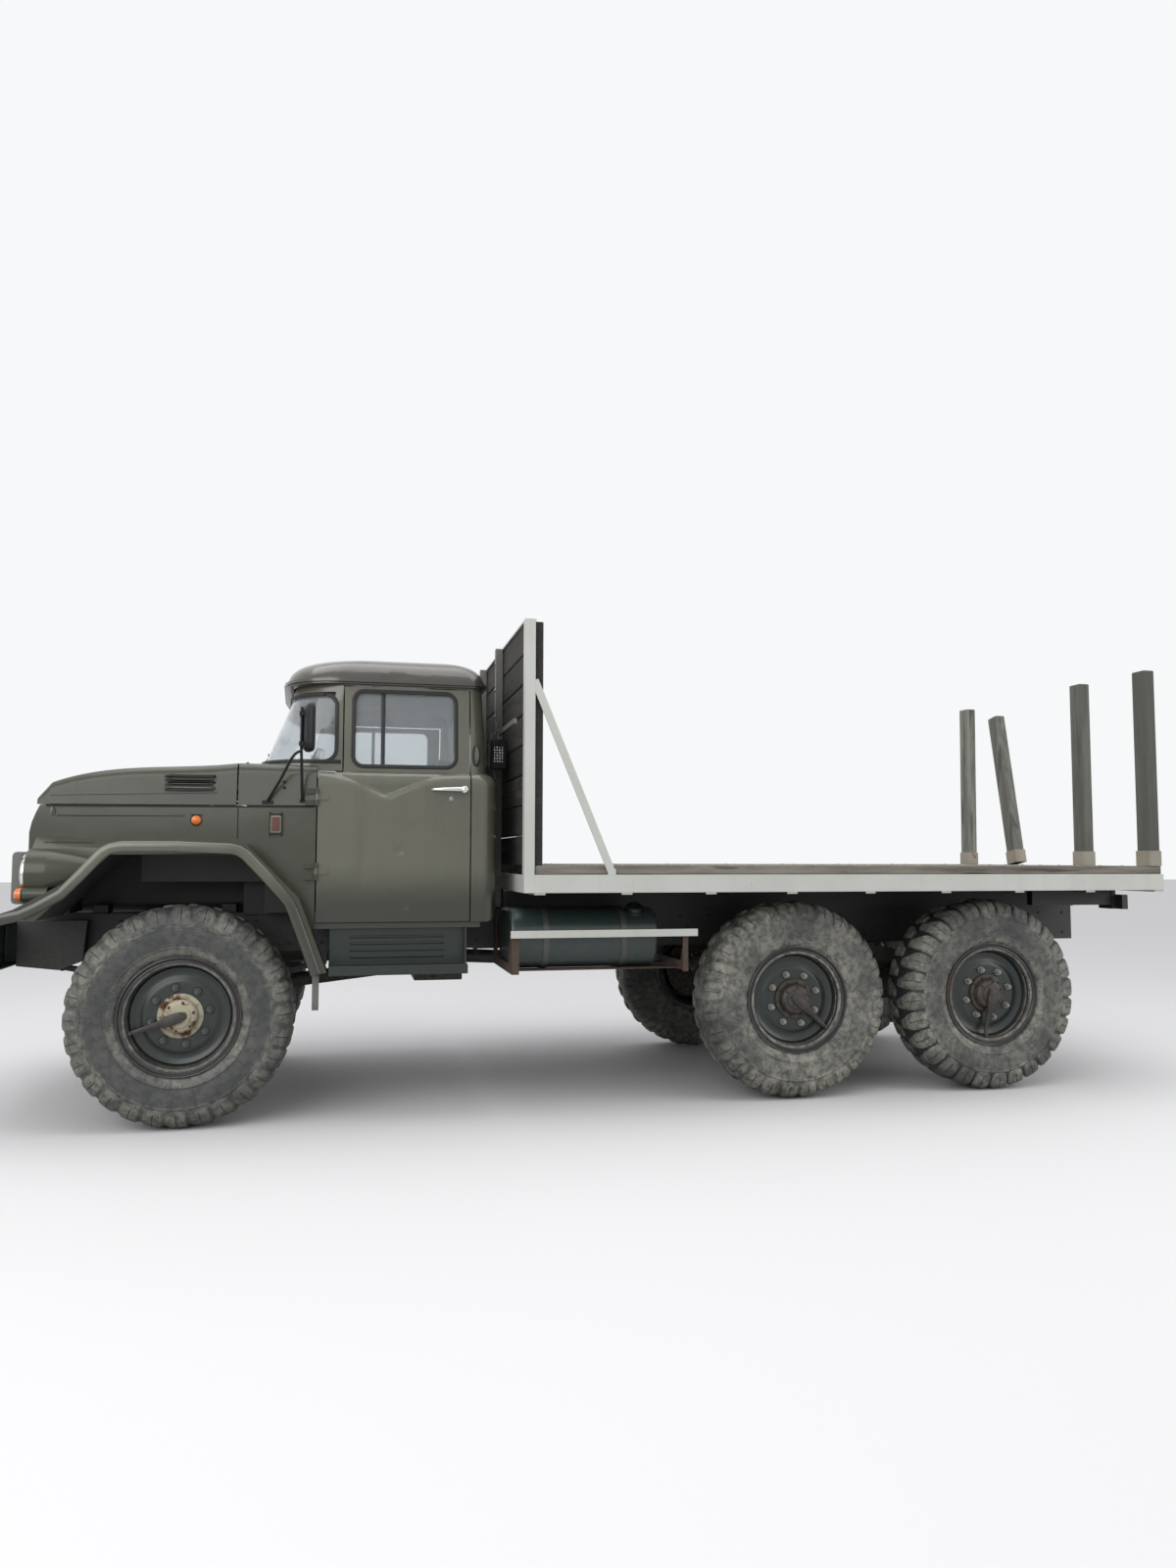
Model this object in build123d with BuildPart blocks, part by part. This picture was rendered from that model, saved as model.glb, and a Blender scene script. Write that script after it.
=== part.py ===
from build123d import *
import os
from math import cos, sin

# Six-wheel cargo truck with a bonnet, a two-door cab and a flat load bed.
# Millimetres. X points forward, Y to the truck's left and Z up. The origin is on the ground below
# the middle of the truck.

# Overall layout
front_overhang = 1065
wheelbase = 3350
bogie_spacing = 1250
rear_overhang = 1045
track = 1820
bed_width = 2500
bed_length = 3920

# Wheels and tyres
tyre_radius = 565
tyre_width = 320
tyre_bead_radius = 257
rim_flange_radius = 302
rim_half_width = 135
rim_wall = 10
disc_offset = 62
disc_wall = 12
drum_radius = 212
drum_depth = 95
hub_radius = 107
hub_nose = 128
spindle_radius = 45
running_gap = 0.3

# Ladder frame
frame_top = 1060
frame_depth = 220
frame_half = 432
flange_width = 80
frame_wall = 10

# Axles and steering
axle_tube_radius = 56
diff_radius = 158
ball_radius = 112
knuckle_wall = 20
kingpin_inset = 175
steering_arm = 230

# Cab, the X places measured back from the front axle
cab_half = 1048
cab_rear_back = 1612
door_rear_back = 1462
door_front_back = 660
pillar_back = 790
cab_floor_z = 1030
cab_wall = 38
belt_z = 1835
belt_half = cab_half - 50
drip_z = 2310
drip_half = cab_half - 102
roof_z = 2474
door_gap = 7
corner_radius = 85
heel_radius = 62

# Bonnet and wings, seen from the front axle
seam_back = 255
wing_ahead = 772
hood_line_z = 1645
hood_wall = 25
wing_half = cab_half + 92
wing_inner = 600

# Load bed
rail_bottom = 1188
rail_depth = 96
rail_width = 70
plank_thickness = 45
plank_count = 12
plank_gap = 4
headboard_top = 2652
post_depth = 60

# Places that follow from the sizes above
overall_length = front_overhang + wheelbase + bogie_spacing + rear_overhang
front_end = overall_length / 2
rear_end = -overall_length / 2
front_axle_x = front_end - front_overhang
mid_axle_x = front_axle_x - wheelbase
rear_axle_x = mid_axle_x - bogie_spacing
trunnion_x = (mid_axle_x + rear_axle_x) / 2
wheel_y = track / 2
kingpin_y = wheel_y - kingpin_inset
cab_rear_x = front_axle_x - cab_rear_back
door_rear_x = front_axle_x - door_rear_back
door_front_x = front_axle_x - door_front_back
pillar_x = front_axle_x - pillar_back
cab_front_x = door_front_x + door_gap
seam_x = front_axle_x - seam_back
bulkhead_x = seam_x - 130
wing_front_x = front_axle_x + wing_ahead
wing_top = hood_line_z - 5
floor_bottom = frame_top + 6
floor_top = floor_bottom + 24
frame_bottom = frame_top - frame_depth
bed_front = rear_end + bed_length
bed_half = bed_width / 2
deck_bottom = rail_bottom + rail_depth + 3
deck_top = deck_bottom + plank_thickness

os.makedirs("parts", exist_ok=True)


def save(piece, name):
    piece.part.label = name
    export_step(piece.part, "parts/" + name + ".step")


def across(y):
    """Plane facing right at the given Y, with local x forward and local y up."""
    return Plane.XZ.offset(-y)


def along(x):
    """Plane facing forward at the given X, with local x to the left and local y up."""
    return Plane.YZ.offset(x)


def block(x0, x1, y0, y1, z0, z1, mode=Mode.ADD):
    """Box between two corners."""
    with Locations(((x0 + x1) / 2, (y0 + y1) / 2, (z0 + z1) / 2)):
        Box(abs(x1 - x0), abs(y1 - y0), abs(z1 - z0), mode=mode)


def bar(start, end, radius, mode=Mode.ADD):
    """Round bar between two points."""
    run = Vector(*end) - Vector(*start)
    with BuildSketch(Plane(origin=start, z_dir=run.normalized())) as section:
        Circle(radius)
    extrude(section.sketch, amount=run.length, mode=mode)


def flat_bar(start, end, width_dir, width, depth, mode=Mode.ADD):
    """Rectangular bar between two points, its width along width_dir."""
    run = Vector(*end) - Vector(*start)
    with BuildSketch(Plane(origin=start, x_dir=width_dir, z_dir=run.normalized())) as section:
        Rectangle(width, depth)
    extrude(section.sketch, amount=run.length, mode=mode)


# Ladder frame: two channels that open inwards, and cross members between their webs
frame_front = front_end - 150
frame_rear = rear_end + 40
cross_members = (
    frame_front - 60,
    front_axle_x + 310,
    cab_rear_x - 75,
    bed_front - 275,
    mid_axle_x + 760,
    trunnion_x + 120,
    trunnion_x - 120,
    frame_rear + 60,
)
with BuildPart() as chassis_frame:
    with BuildSketch(along(frame_rear)):
        for side in (1, -1):
            with Locations((side * (frame_half - flange_width / 2), frame_top - frame_depth / 2)):
                Rectangle(flange_width, frame_depth)
            with Locations((side * (frame_half - flange_width / 2 - frame_wall), frame_top - frame_depth / 2)):
                Rectangle(flange_width, frame_depth - 2 * frame_wall, mode=Mode.SUBTRACT)
    extrude(amount=frame_front - frame_rear)
    web = frame_half - frame_wall
    for x in cross_members:
        block(x - 40, x + 40, -web, web, frame_bottom + 25, frame_bottom + 35)
        block(x - 5, x + 5, -web, web, frame_bottom + 25, frame_top - 25)
    # Rear towing hook behind the last cross member
    hitch_z = frame_bottom + frame_depth / 2
    bar((frame_rear, 0, hitch_z), (rear_end + 5, 0, hitch_z), 30)
    block(frame_rear - 12, frame_rear, -110, 110, hitch_z - 70, hitch_z + 70)
    block(frame_rear, frame_rear + 70, -110, 110, hitch_z - 12, hitch_z + 12)
save(chassis_frame, "chassis_frame")

# Front bumper: a channel with chamfered ends and two tow hooks
bumper_half = 1100
bumper_bottom = 790
bumper_height = 240
with BuildPart() as front_bumper:
    with BuildSketch(Plane.XY.offset(bumper_bottom)):
        with BuildLine():
            Polyline(
                (frame_front, -bumper_half),
                (front_end - 70, -bumper_half),
                (front_end - 25, -bumper_half + 140),
                (front_end - 25, bumper_half - 140),
                (front_end - 70, bumper_half),
                (frame_front, bumper_half),
                close=True,
            )
        make_face()
    extrude(amount=bumper_height)
    block(frame_front - 1, front_end - 80, -bumper_half - 1, bumper_half + 1, bumper_bottom + 12,
          bumper_bottom + bumper_height - 12, mode=Mode.SUBTRACT)
    for side in (1, -1):
        y = side * (frame_half - 45)
        block(frame_front, front_end - 79, y - 40, y + 40, bumper_bottom + 11, bumper_bottom + bumper_height - 11)
        block(front_end - 26, front_end, y - 14, y + 14, bumper_bottom + 60, bumper_bottom + 180)
save(front_bumper, "front_bumper")

# Engine: one plain block between the wings, on four feet, with the bell housing behind it
engine_rear = bulkhead_x + 75
engine_front = front_axle_x + 670
engine_top = 1560
gearbox_z = frame_bottom + 40
gearbox_radius = 138
with BuildPart() as engine_block:
    block(engine_rear, engine_front, -290, 290, frame_top + 2, engine_top)
    fillet(engine_block.edges().filter_by(Axis.X), 60)
    block(engine_rear, engine_rear + 90, -170, 170, gearbox_z - gearbox_radius, frame_top + 62)
    for x in (engine_rear + 140, engine_front - 160):
        for side in (1, -1):
            block(x - 40, x + 40, side * 280, side * (frame_half - 20), frame_top + running_gap, frame_top + 50)
save(engine_block, "engine_block")

# Gearbox, transfer case and the shafts to the axles
gearbox_rear = engine_rear - 480
case_front = cab_rear_x + 382
case_rear = cab_rear_x + 92
case_half = 190
case_z = frame_bottom - 40
case_top = case_z + 160
nose_reach = diff_radius + 98
pinion_z = tyre_radius + 40
through_z = tyre_radius + 125
flange_length = 34
shaft_radius = 42


def shaft(x0, z0, x1, z1):
    """Propeller shaft between two flanges, from the front one to the rear one."""
    bar((x0, 0, z0), (x0 - flange_length, 0, z0), shaft_radius + 14)
    bar((x1, 0, z1), (x1 + flange_length, 0, z1), shaft_radius + 14)
    bar((x0 - flange_length + 6, 0, z0), (x1 + flange_length - 6, 0, z1), shaft_radius)


with BuildPart() as driveline:
    bar((engine_rear - running_gap, 0, gearbox_z), (gearbox_rear, 0, gearbox_z), gearbox_radius)
    shaft(gearbox_rear + 1, gearbox_z, case_front - 1, case_z + 60)
    block(case_rear, case_front, -case_half, case_half, case_z - 170, case_top)
    # Carrier that hangs the transfer case between the frame's webs
    carrier_x = (case_front + case_rear) / 2
    carrier_half = frame_half - frame_wall - running_gap
    block(carrier_x - 35, carrier_x + 35, -carrier_half, carrier_half, case_top - 60, case_top - 20)
    shaft(front_axle_x - nose_reach - running_gap, pinion_z, case_front - 1, case_z - 90)
    shaft(case_rear + 1, case_z - 40, mid_axle_x + nose_reach + running_gap, through_z)
    shaft(mid_axle_x - nose_reach - running_gap, through_z, rear_axle_x + nose_reach + running_gap, through_z)
save(driveline, "driveline")

# Silencer and tail pipe on the right, hung from the frame
silencer_y = -540
silencer_z = 905
silencer_radius = 84
pipe_radius = 32
silencer_rear = cab_rear_x + 282
silencer_front = cab_rear_x + 722
tail_x = cab_rear_x + 22
with BuildPart() as exhaust:
    bar((silencer_rear, silencer_y, silencer_z), (silencer_front, silencer_y, silencer_z), silencer_radius)
    bar((tail_x, silencer_y, silencer_z), (silencer_front + 170, silencer_y, silencer_z), pipe_radius)
    with Locations((tail_x, silencer_y, silencer_z)):
        Sphere(pipe_radius)
    bar((tail_x, silencer_y, silencer_z), (tail_x, -1040, silencer_z - 20), pipe_radius)
    for x in (silencer_rear + 80, silencer_front - 80):
        block(x - 20, x + 20, silencer_y + 40, -frame_half - running_gap, silencer_z - 15, silencer_z + 15)
save(exhaust, "exhaust")


# Axles
def axle_bulge(x, half):
    """Differential housing that tapers into the tube on both sides."""
    with BuildSketch(Plane(origin=(x, 0, tyre_radius), x_dir=(1, 0, 0), z_dir=(0, 0, 1))) as section:
        with BuildLine():
            Polyline(
                (0, half),
                (axle_tube_radius, half),
                (0.62 * diff_radius, 0.72 * half),
                (0.93 * diff_radius, 0.34 * half),
                (diff_radius, 0.12 * half),
                (diff_radius, -0.12 * half),
                (0.93 * diff_radius, -0.34 * half),
                (0.62 * diff_radius, -0.72 * half),
                (axle_tube_radius, -half),
                (0, -half),
                close=True,
            )
        make_face()
    revolve(section.sketch, axis=Axis((x, 0, tyre_radius), (0, 1, 0)))


with BuildPart() as front_axle:
    bar((front_axle_x, -kingpin_y, tyre_radius), (front_axle_x, kingpin_y, tyre_radius), axle_tube_radius)
    axle_bulge(front_axle_x, 230)
    bar((front_axle_x, 0, pinion_z), (front_axle_x - nose_reach, 0, pinion_z), 62)
    for side in (1, -1):
        with Locations((front_axle_x, side * kingpin_y, tyre_radius)):
            Sphere(ball_radius)
save(front_axle, "front_axle")

rod_y = frame_half - 132
rod_bush_half = 32
drum_inner_y = wheel_y + disc_offset - disc_wall - drum_depth
rear_spring_y = frame_half + 103
for name, axle_x in (("mid_axle", mid_axle_x), ("rear_axle", rear_axle_x)):
    with BuildPart() as driven_axle:
        bar((axle_x, -drum_inner_y, tyre_radius), (axle_x, drum_inner_y, tyre_radius), axle_tube_radius + 8)
        axle_bulge(axle_x, rod_y - rod_bush_half - 8)
        bar((axle_x + nose_reach, 0, through_z), (axle_x - nose_reach, 0, through_z), 62)
        for side in (1, -1):
            bar((axle_x, side * drum_inner_y, tyre_radius),
                (axle_x, side * (wheel_y + disc_offset), tyre_radius), spindle_radius)
            # Back plate and spring seat
            bar((axle_x, side * (drum_inner_y - 12), tyre_radius),
                (axle_x, side * (drum_inner_y - 2), tyre_radius), drum_radius - 4)
            block(axle_x - 70, axle_x + 70, side * (rear_spring_y - 55), side * (rear_spring_y + 55), tyre_radius,
                  tyre_radius + 108)
    save(driven_axle, name)


# Leaf springs
def leaf(plane, centre_x, base_z, radius, half, thick, bend):
    """Side view of one leaf: ends up (bend 1) or ends down (bend -1)."""
    centre_z = base_z + bend * radius
    far = radius - bend * thick
    turn = half / radius

    def place(r, angle):
        return (centre_x + r * sin(angle), centre_z - bend * r * cos(angle))

    with BuildSketch(plane) as section:
        with BuildLine():
            ThreePointArc(place(radius, -turn), place(radius, 0), place(radius, turn))
            Line(place(radius, turn), place(far, turn))
            ThreePointArc(place(far, turn), place(far, 0), place(far, -turn))
            Line(place(far, -turn), place(radius, -turn))
        make_face()
    return section.sketch


leaf_thick = 12
front_spring_y = frame_half - 37
front_leaves = (680, 680, 560, 450, 340, 230)
front_seat = tyre_radius + axle_tube_radius + 14
with BuildPart() as front_springs:
    for side in (1, -1):
        y = side * front_spring_y
        for i, half in enumerate(reversed(front_leaves)):
            extrude(leaf(across(y + 37), front_axle_x, front_seat + i * leaf_thick,
                         3300 - i * leaf_thick, half, leaf_thick, 1), amount=74)
        # Eye at each end, hung from the frame by a hanger or a shackle
        eye_z = front_seat + 6 * leaf_thick + 70
        for x in (front_axle_x - 690, front_axle_x + 690):
            bar((x, y + 37, eye_z), (x, y - 37, eye_z), 26)
            block(x - 22, x + 22, y - 37, y + 37, eye_z, frame_bottom)
        # U-bolt plates on the axle
        block(front_axle_x - 80, front_axle_x + 80, y - 45, y + 45, front_seat + 6 * leaf_thick - 2,
              front_seat + 6 * leaf_thick + 16)
        block(front_axle_x - 75, front_axle_x + 75, y - 42, y + 42, front_seat - 14, front_seat + 4)
save(front_springs, "front_springs")

rear_leaves = (bogie_spacing / 2 + 60, 600, 520, 440, 370, 300, 230, 160)
trunnion_z = tyre_radius + 10
spring_seat = tyre_radius + 167
with BuildPart() as rear_springs:
    for side in (1, -1):
        y = side * rear_spring_y
        for i, half in enumerate(rear_leaves):
            extrude(leaf(across(y + 45), trunnion_x, spring_seat + i * leaf_thick,
                         4600 + i * leaf_thick, half, leaf_thick, -1), amount=90)
        bar((trunnion_x, y - 60, trunnion_z), (trunnion_x, y + 60, trunnion_z), 88)
        block(trunnion_x - 110, trunnion_x + 110, y - 50, y + 50, trunnion_z + 60, spring_seat + 2)
        top = spring_seat + len(rear_leaves) * leaf_thick
        block(trunnion_x - 100, trunnion_x + 100, y - 50, y + 50, top - 2, top + 18)
        # Bracket that carries the trunnion under the frame
        with BuildSketch(across(side * (frame_half - 10) + 12)):
            with BuildLine():
                Polyline(
                    (trunnion_x - 230, frame_bottom),
                    (trunnion_x - 80, trunnion_z - 90),
                    (trunnion_x + 80, trunnion_z - 90),
                    (trunnion_x + 230, frame_bottom),
                    close=True,
                )
            make_face()
        extrude(amount=24)
    bar((trunnion_x, -rear_spring_y, trunnion_z), (trunnion_x, rear_spring_y, trunnion_z), 46)
save(rear_springs, "rear_springs")

# Torque rods that hold the two rear axles fore and aft
rod_inner_z = tyre_radius - 65
rod_outer_z = tyre_radius - 95
with BuildPart() as torque_rods:
    for side in (1, -1):
        for axle_x, way in ((mid_axle_x, 1), (rear_axle_x, -1)):
            y = side * rod_y
            start = (trunnion_x + way * 90, y, rod_inner_z)
            end = (axle_x - way * 40, y, rod_outer_z)
            bar(start, end, 24)
            for x, _, z in (start, end):
                bar((x, y - rod_bush_half, z), (x, y + rod_bush_half, z), 38)
            block(start[0] - 20, start[0] + 20, y + side * 30, side * (frame_half - 22),
                  rod_inner_z - 25, rod_inner_z + 120)
save(torque_rods, "torque_rods")


# Steering knuckles, turning about upright kingpins
for name, side in (("knuckle_left", 1), ("knuckle_right", -1)):
    pin_y = side * kingpin_y
    with BuildPart() as knuckle:
        with Locations((front_axle_x, pin_y, tyre_radius)):
            Sphere(ball_radius + running_gap + knuckle_wall)
        bar((front_axle_x, pin_y, tyre_radius - ball_radius - 52),
            (front_axle_x, pin_y, tyre_radius + ball_radius + 52), 40)
        with Locations((front_axle_x, pin_y, tyre_radius)):
            Sphere(ball_radius + running_gap, mode=Mode.SUBTRACT)
        # The cup opens inboard, past the axle tube at full lock
        block(front_axle_x - 200, front_axle_x + 200, side * (kingpin_y - 240), side * (kingpin_y - 34),
              tyre_radius - 220, tyre_radius + 220, mode=Mode.SUBTRACT)
        bar((front_axle_x, side * (kingpin_y + ball_radius + 2), tyre_radius),
            (front_axle_x, side * (wheel_y + disc_offset), tyre_radius), spindle_radius)
        bar((front_axle_x, side * (kingpin_y + ball_radius + 2), tyre_radius),
            (front_axle_x, side * (kingpin_y + ball_radius + 14), tyre_radius), drum_radius - 4)
        # Steering arm, back and down to the tie rod's pin
        flat_bar((front_axle_x - 105, pin_y, tyre_radius - 70),
                 (front_axle_x - steering_arm, pin_y, tyre_radius - 70), (0, 1, 0), 40, 24)
        bar((front_axle_x - steering_arm, pin_y, tyre_radius - 82),
            (front_axle_x - steering_arm, pin_y, tyre_radius - 58), 26)
    save(knuckle, name)

# Tie rod below the two arms
tie_rod_z = tyre_radius - 112
with BuildPart() as tie_rod:
    bar((front_axle_x - steering_arm, -kingpin_y + 20, tie_rod_z),
        (front_axle_x - steering_arm, kingpin_y - 20, tie_rod_z), 19)
    for side in (1, -1):
        pin_y = side * kingpin_y
        bar((front_axle_x - steering_arm, pin_y, tie_rod_z - 22),
            (front_axle_x - steering_arm, pin_y, tyre_radius - 82 - running_gap), 25)
save(tie_rod, "tie_rod")


# Wheels: tyre, and rim with disc, hub and drum
def wheel_plane(axle_x, side):
    """Plane through the wheel's axle: local x is the radius, local y runs outboard."""
    return Plane(origin=(axle_x, side * wheel_y, tyre_radius), x_dir=(1, 0, 0), z_dir=(0, 0, side))


half_tyre = tyre_width / 2
bead = rim_half_width - rim_wall - 0.5
side_depth = tyre_radius - rim_flange_radius
# Half of the tyre's section from bead to crown: radius, distance from the middle
half_section = (
    (tyre_bead_radius, bead),
    (rim_flange_radius + 1, bead),
    (rim_flange_radius + 1, bead + 14),
    (rim_flange_radius + 0.16 * side_depth, half_tyre - 9),
    (rim_flange_radius + 0.36 * side_depth, half_tyre - 1),
    (rim_flange_radius + 0.55 * side_depth, half_tyre),
    (rim_flange_radius + 0.74 * side_depth, half_tyre - 6),
    (tyre_radius - 38, half_tyre - 20),
    (tyre_radius - 16, half_tyre - 45),
    (tyre_radius - 5, half_tyre - 80),
    (tyre_radius, half_tyre - 125),
)
tyre_section = half_section + tuple((radius, -y) for radius, y in reversed(half_section))
wheel_places = (
    ("front", front_axle_x),
    ("mid", mid_axle_x),
    ("rear", rear_axle_x),
)
for place, axle_x in wheel_places:
    for hand, side in (("left", 1), ("right", -1)):
        spin = Axis((axle_x, side * wheel_y, tyre_radius), (0, 1, 0))
        with BuildPart() as tyre:
            with BuildSketch(wheel_plane(axle_x, side)):
                with BuildLine():
                    Polyline(*tyre_section, close=True)
                make_face()
            revolve(axis=spin)
        save(tyre, "tyre_" + place + "_" + hand)

        inner = tyre_bead_radius - 0.5
        with BuildPart() as wheel:
            with BuildSketch(wheel_plane(axle_x, side)):
                with BuildLine():
                    # Rim: base and two flanges
                    Polyline(
                        (inner - rim_wall, -rim_half_width),
                        (rim_flange_radius, -rim_half_width),
                        (rim_flange_radius, -rim_half_width + rim_wall),
                        (inner, -rim_half_width + rim_wall),
                        (inner, rim_half_width - rim_wall),
                        (rim_flange_radius, rim_half_width - rim_wall),
                        (rim_flange_radius, rim_half_width),
                        (inner - rim_wall, rim_half_width),
                        close=True,
                    )
                make_face()
                with BuildLine():
                    # Dished disc, hub and hub cap around the spindle
                    Polyline(
                        (inner - rim_wall + 1, disc_offset + 24),
                        (inner - rim_wall - 22, disc_offset + 24),
                        (drum_radius - 20, disc_offset),
                        (hub_radius, disc_offset),
                        (hub_radius, disc_offset + 34),
                        (hub_radius - 14, disc_offset + 48),
                        (62, disc_offset + 48),
                        (56, hub_nose - 6),
                        (50, hub_nose),
                        (0, hub_nose),
                        (0, disc_offset + 6),
                        (spindle_radius + running_gap, disc_offset + 6),
                        (spindle_radius + running_gap, disc_offset - 60),
                        (hub_radius - 20, disc_offset - 60),
                        (hub_radius - 10, disc_offset - disc_wall),
                        (drum_radius - 8, disc_offset - disc_wall),
                        (drum_radius - 8, disc_offset - disc_wall - drum_depth + 14),
                        (drum_radius + 4, disc_offset - disc_wall - drum_depth + 14),
                        (drum_radius + 4, disc_offset - disc_wall - 4),
                        (inner - rim_wall - 18, disc_offset + 24 - disc_wall),
                        (inner - rim_wall + 1, disc_offset + 24 - disc_wall),
                        close=True,
                    )
                make_face()
            revolve(axis=spin)
            nut_plane = Plane(origin=(axle_x, side * (wheel_y + disc_offset - 1), tyre_radius), x_dir=(1, 0, 0),
                              z_dir=(0, side, 0))
            with BuildSketch(nut_plane):
                with PolarLocations(150, 8):
                    RegularPolygon(19, 6)
            extrude(amount=24)
        save(wheel, "wheel_" + place + "_" + hand)


# Cab: an outer form and an inner void give walls of one thickness, cut up at the real panel joints
shoulder = ((belt_z - 75, cab_half), (belt_z - 28, cab_half - 14), (belt_z, belt_half))
# Upper cab sections: height, half width, rear x, front corner x, nose x
glass_base = (belt_z, belt_half, cab_rear_x + cab_half - belt_half, front_axle_x - 345, front_axle_x - 305)
glass_top = (drip_z, drip_half, cab_rear_x + 72, front_axle_x - 534, front_axle_x - 500)


def upper_outline(z, half, rear, front, nose, inset=0):
    """Plan of the upper cab at one height: rounded rear corners, wide rounded swept front."""
    with BuildSketch(Plane.XY.offset(z)) as outline:
        with BuildLine():
            Polyline(
                (rear + inset, -half + inset),
                (front - inset, -half + inset),
                (nose - inset, 0),
                (front - inset, half - inset),
                (rear + inset, half - inset),
                close=True,
            )
        make_face()
        fillet(outline.vertices().group_by(Axis.X)[1], 300 - inset)
        fillet(outline.vertices().group_by(Axis.X)[0], corner_radius - inset)
    return outline.sketch


def lower_outline(z, half, front, inset):
    """Plan of the lower cab at one height: rounded rear corners, square front."""
    rear = cab_rear_x + cab_half - half + inset
    with BuildSketch(Plane.XY.offset(z)) as outline:
        with Locations(((rear + front) / 2, 0)):
            Rectangle(front - rear, 2 * (half - inset))
        fillet(outline.vertices().group_by(Axis.X)[0], corner_radius - inset)
    return outline.sketch


def upper_cab(inset):
    with BuildPart() as form:
        loft([upper_outline(*glass_base, inset), upper_outline(*glass_top, inset)])
    return form.part


def lower_cab(inset, front):
    with BuildPart() as form:
        extrude(lower_outline(cab_floor_z, cab_half, front, inset), amount=shoulder[0][0] - cab_floor_z)
        loft([lower_outline(z, half, front, inset) for z, half in shoulder])
        # Rounded lower rear corner in side view
        with BuildSketch(across(1.2 * cab_half)) as side_view:
            with Locations(((cab_rear_x + front) / 2, (cab_floor_z + belt_z) / 2)):
                Rectangle(front - cab_rear_x, belt_z - cab_floor_z)
            fillet(side_view.vertices().sort_by(Axis.X)[:2].sort_by(Axis.Z)[0], heel_radius)
        extrude(side_view.sketch, amount=2.4 * cab_half, mode=Mode.INTERSECT)
    return form.part


def door_outline(side, grow):
    """Side view of a door: wide below the belt, stepped back above it to clear the windscreen post."""
    with BuildSketch(across(side * 700)) as outline:
        with BuildLine():
            Polyline(
                (door_rear_x, cab_floor_z + 5),
                (door_front_x, cab_floor_z + 5),
                (door_front_x, belt_z - 8),
                (pillar_x, belt_z - 8),
                (pillar_x, drip_z - 14),
                (door_rear_x, drip_z - 14),
                close=True,
            )
        make_face()
        if grow:
            offset(amount=grow, kind=Kind.INTERSECTION)
    return outline.sketch


# Windows, in side view: x from, x to, z from, z to, corner radius
door_window = (door_rear_x + 83, pillar_x - 58, belt_z + 36, drip_z - 45, 48)
screen_window = (pillar_x + 48, front_axle_x - 90, belt_z + 57, drip_z - 64, 62)
# Rear window: z from, z to, half width
rear_window = (belt_z + 45, drip_z - 120, 400)


def side_window(side):
    x0, x1, z0, z1, radius = door_window
    with BuildSketch(across(side * 700)) as outline:
        with Locations(((x0 + x1) / 2, (z0 + z1) / 2)):
            RectangleRounded(x1 - x0, z1 - z0, radius)
    return outline.sketch


def screen_region():
    x0, x1, z0, z1, radius = screen_window
    with BuildSketch(across(1200)) as outline:
        with Locations(((x0 + x1) / 2, (z0 + z1) / 2)):
            RectangleRounded(x1 - x0, z1 - z0, radius)
    return outline.sketch


def rear_region():
    z0, z1, half = rear_window
    with BuildSketch(along(cab_rear_x - 10)) as outline:
        with Locations((0, (z0 + z1) / 2)):
            RectangleRounded(2 * half, z1 - z0, 45)
    return outline.sketch


upper_outer = upper_cab(0)
lower_outer = lower_cab(0, cab_front_x)
with BuildPart() as cab_walls:
    add(upper_outer)
    add(lower_outer)
    add(upper_cab(cab_wall), mode=Mode.SUBTRACT)
    add(lower_cab(cab_wall, cab_front_x + 1), mode=Mode.SUBTRACT)

sill_half = cab_half - cab_wall - door_gap
sill_bottom = cab_floor_z - 30
with BuildPart() as cab_shell:
    add(cab_walls.part)
    for side in (1, -1):
        extrude(door_outline(side, door_gap), amount=-side * 600, mode=Mode.SUBTRACT)
    extrude(screen_region(), amount=2400, mode=Mode.SUBTRACT)
    extrude(rear_region(), amount=200, mode=Mode.SUBTRACT)
    # Floor above the frame, with a sill under each door and mounts on the frame
    block(cab_rear_x - 1, cab_rear_x + heel_radius + 20, -frame_half - 20, frame_half + 20, cab_floor_z - 1,
          floor_bottom, mode=Mode.SUBTRACT)
    block(cab_rear_x + 20, cab_front_x, -sill_half, sill_half, floor_bottom, floor_top)
    for side in (1, -1):
        block(cab_rear_x + 90, cab_front_x, side * (sill_half - 60), side * sill_half, sill_bottom, floor_top)
        block(cab_rear_x + 90, cab_front_x, side * (sill_half - 60), side * (cab_half - 20), sill_bottom,
              cab_floor_z - 2)
        for x in (cab_rear_x + 60, cab_front_x - 80):
            block(x - 40, x + 40, side * (frame_half - 70), side * (frame_half - 10), frame_top + running_gap,
                  floor_bottom + 1)
save(cab_shell, "cab_shell")

# Roof: a shallow dome that stands out over the windscreen as a peak
roof_steps = ((0, 0), (0.5, 24), (0.85, 96), (0.985, 230))
roof_rise = roof_z - drip_z


def roof_form(inset):
    sections = []
    for share, step in roof_steps:
        z = drip_z + (roof_rise - inset) * share
        sections.append(upper_outline(z, drip_half + 16 - step - inset, cab_rear_x + 56 + step + inset,
                                      front_axle_x - 484 - step * 1.1 - inset,
                                      front_axle_x - 448 - step * 1.2 - inset))
    with BuildPart() as form:
        loft(sections)
    return form.part


with BuildPart() as cab_roof:
    add(roof_form(0))
    add(roof_form(cab_wall), mode=Mode.SUBTRACT)
    # Round ventilator lid
    with Locations((front_axle_x - 835, 0, roof_z - 6)):
        Box(230, 420, 30)
    fillet(cab_roof.edges().group_by(Axis.Z)[-1], 8)
save(cab_roof, "cab_roof")

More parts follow.
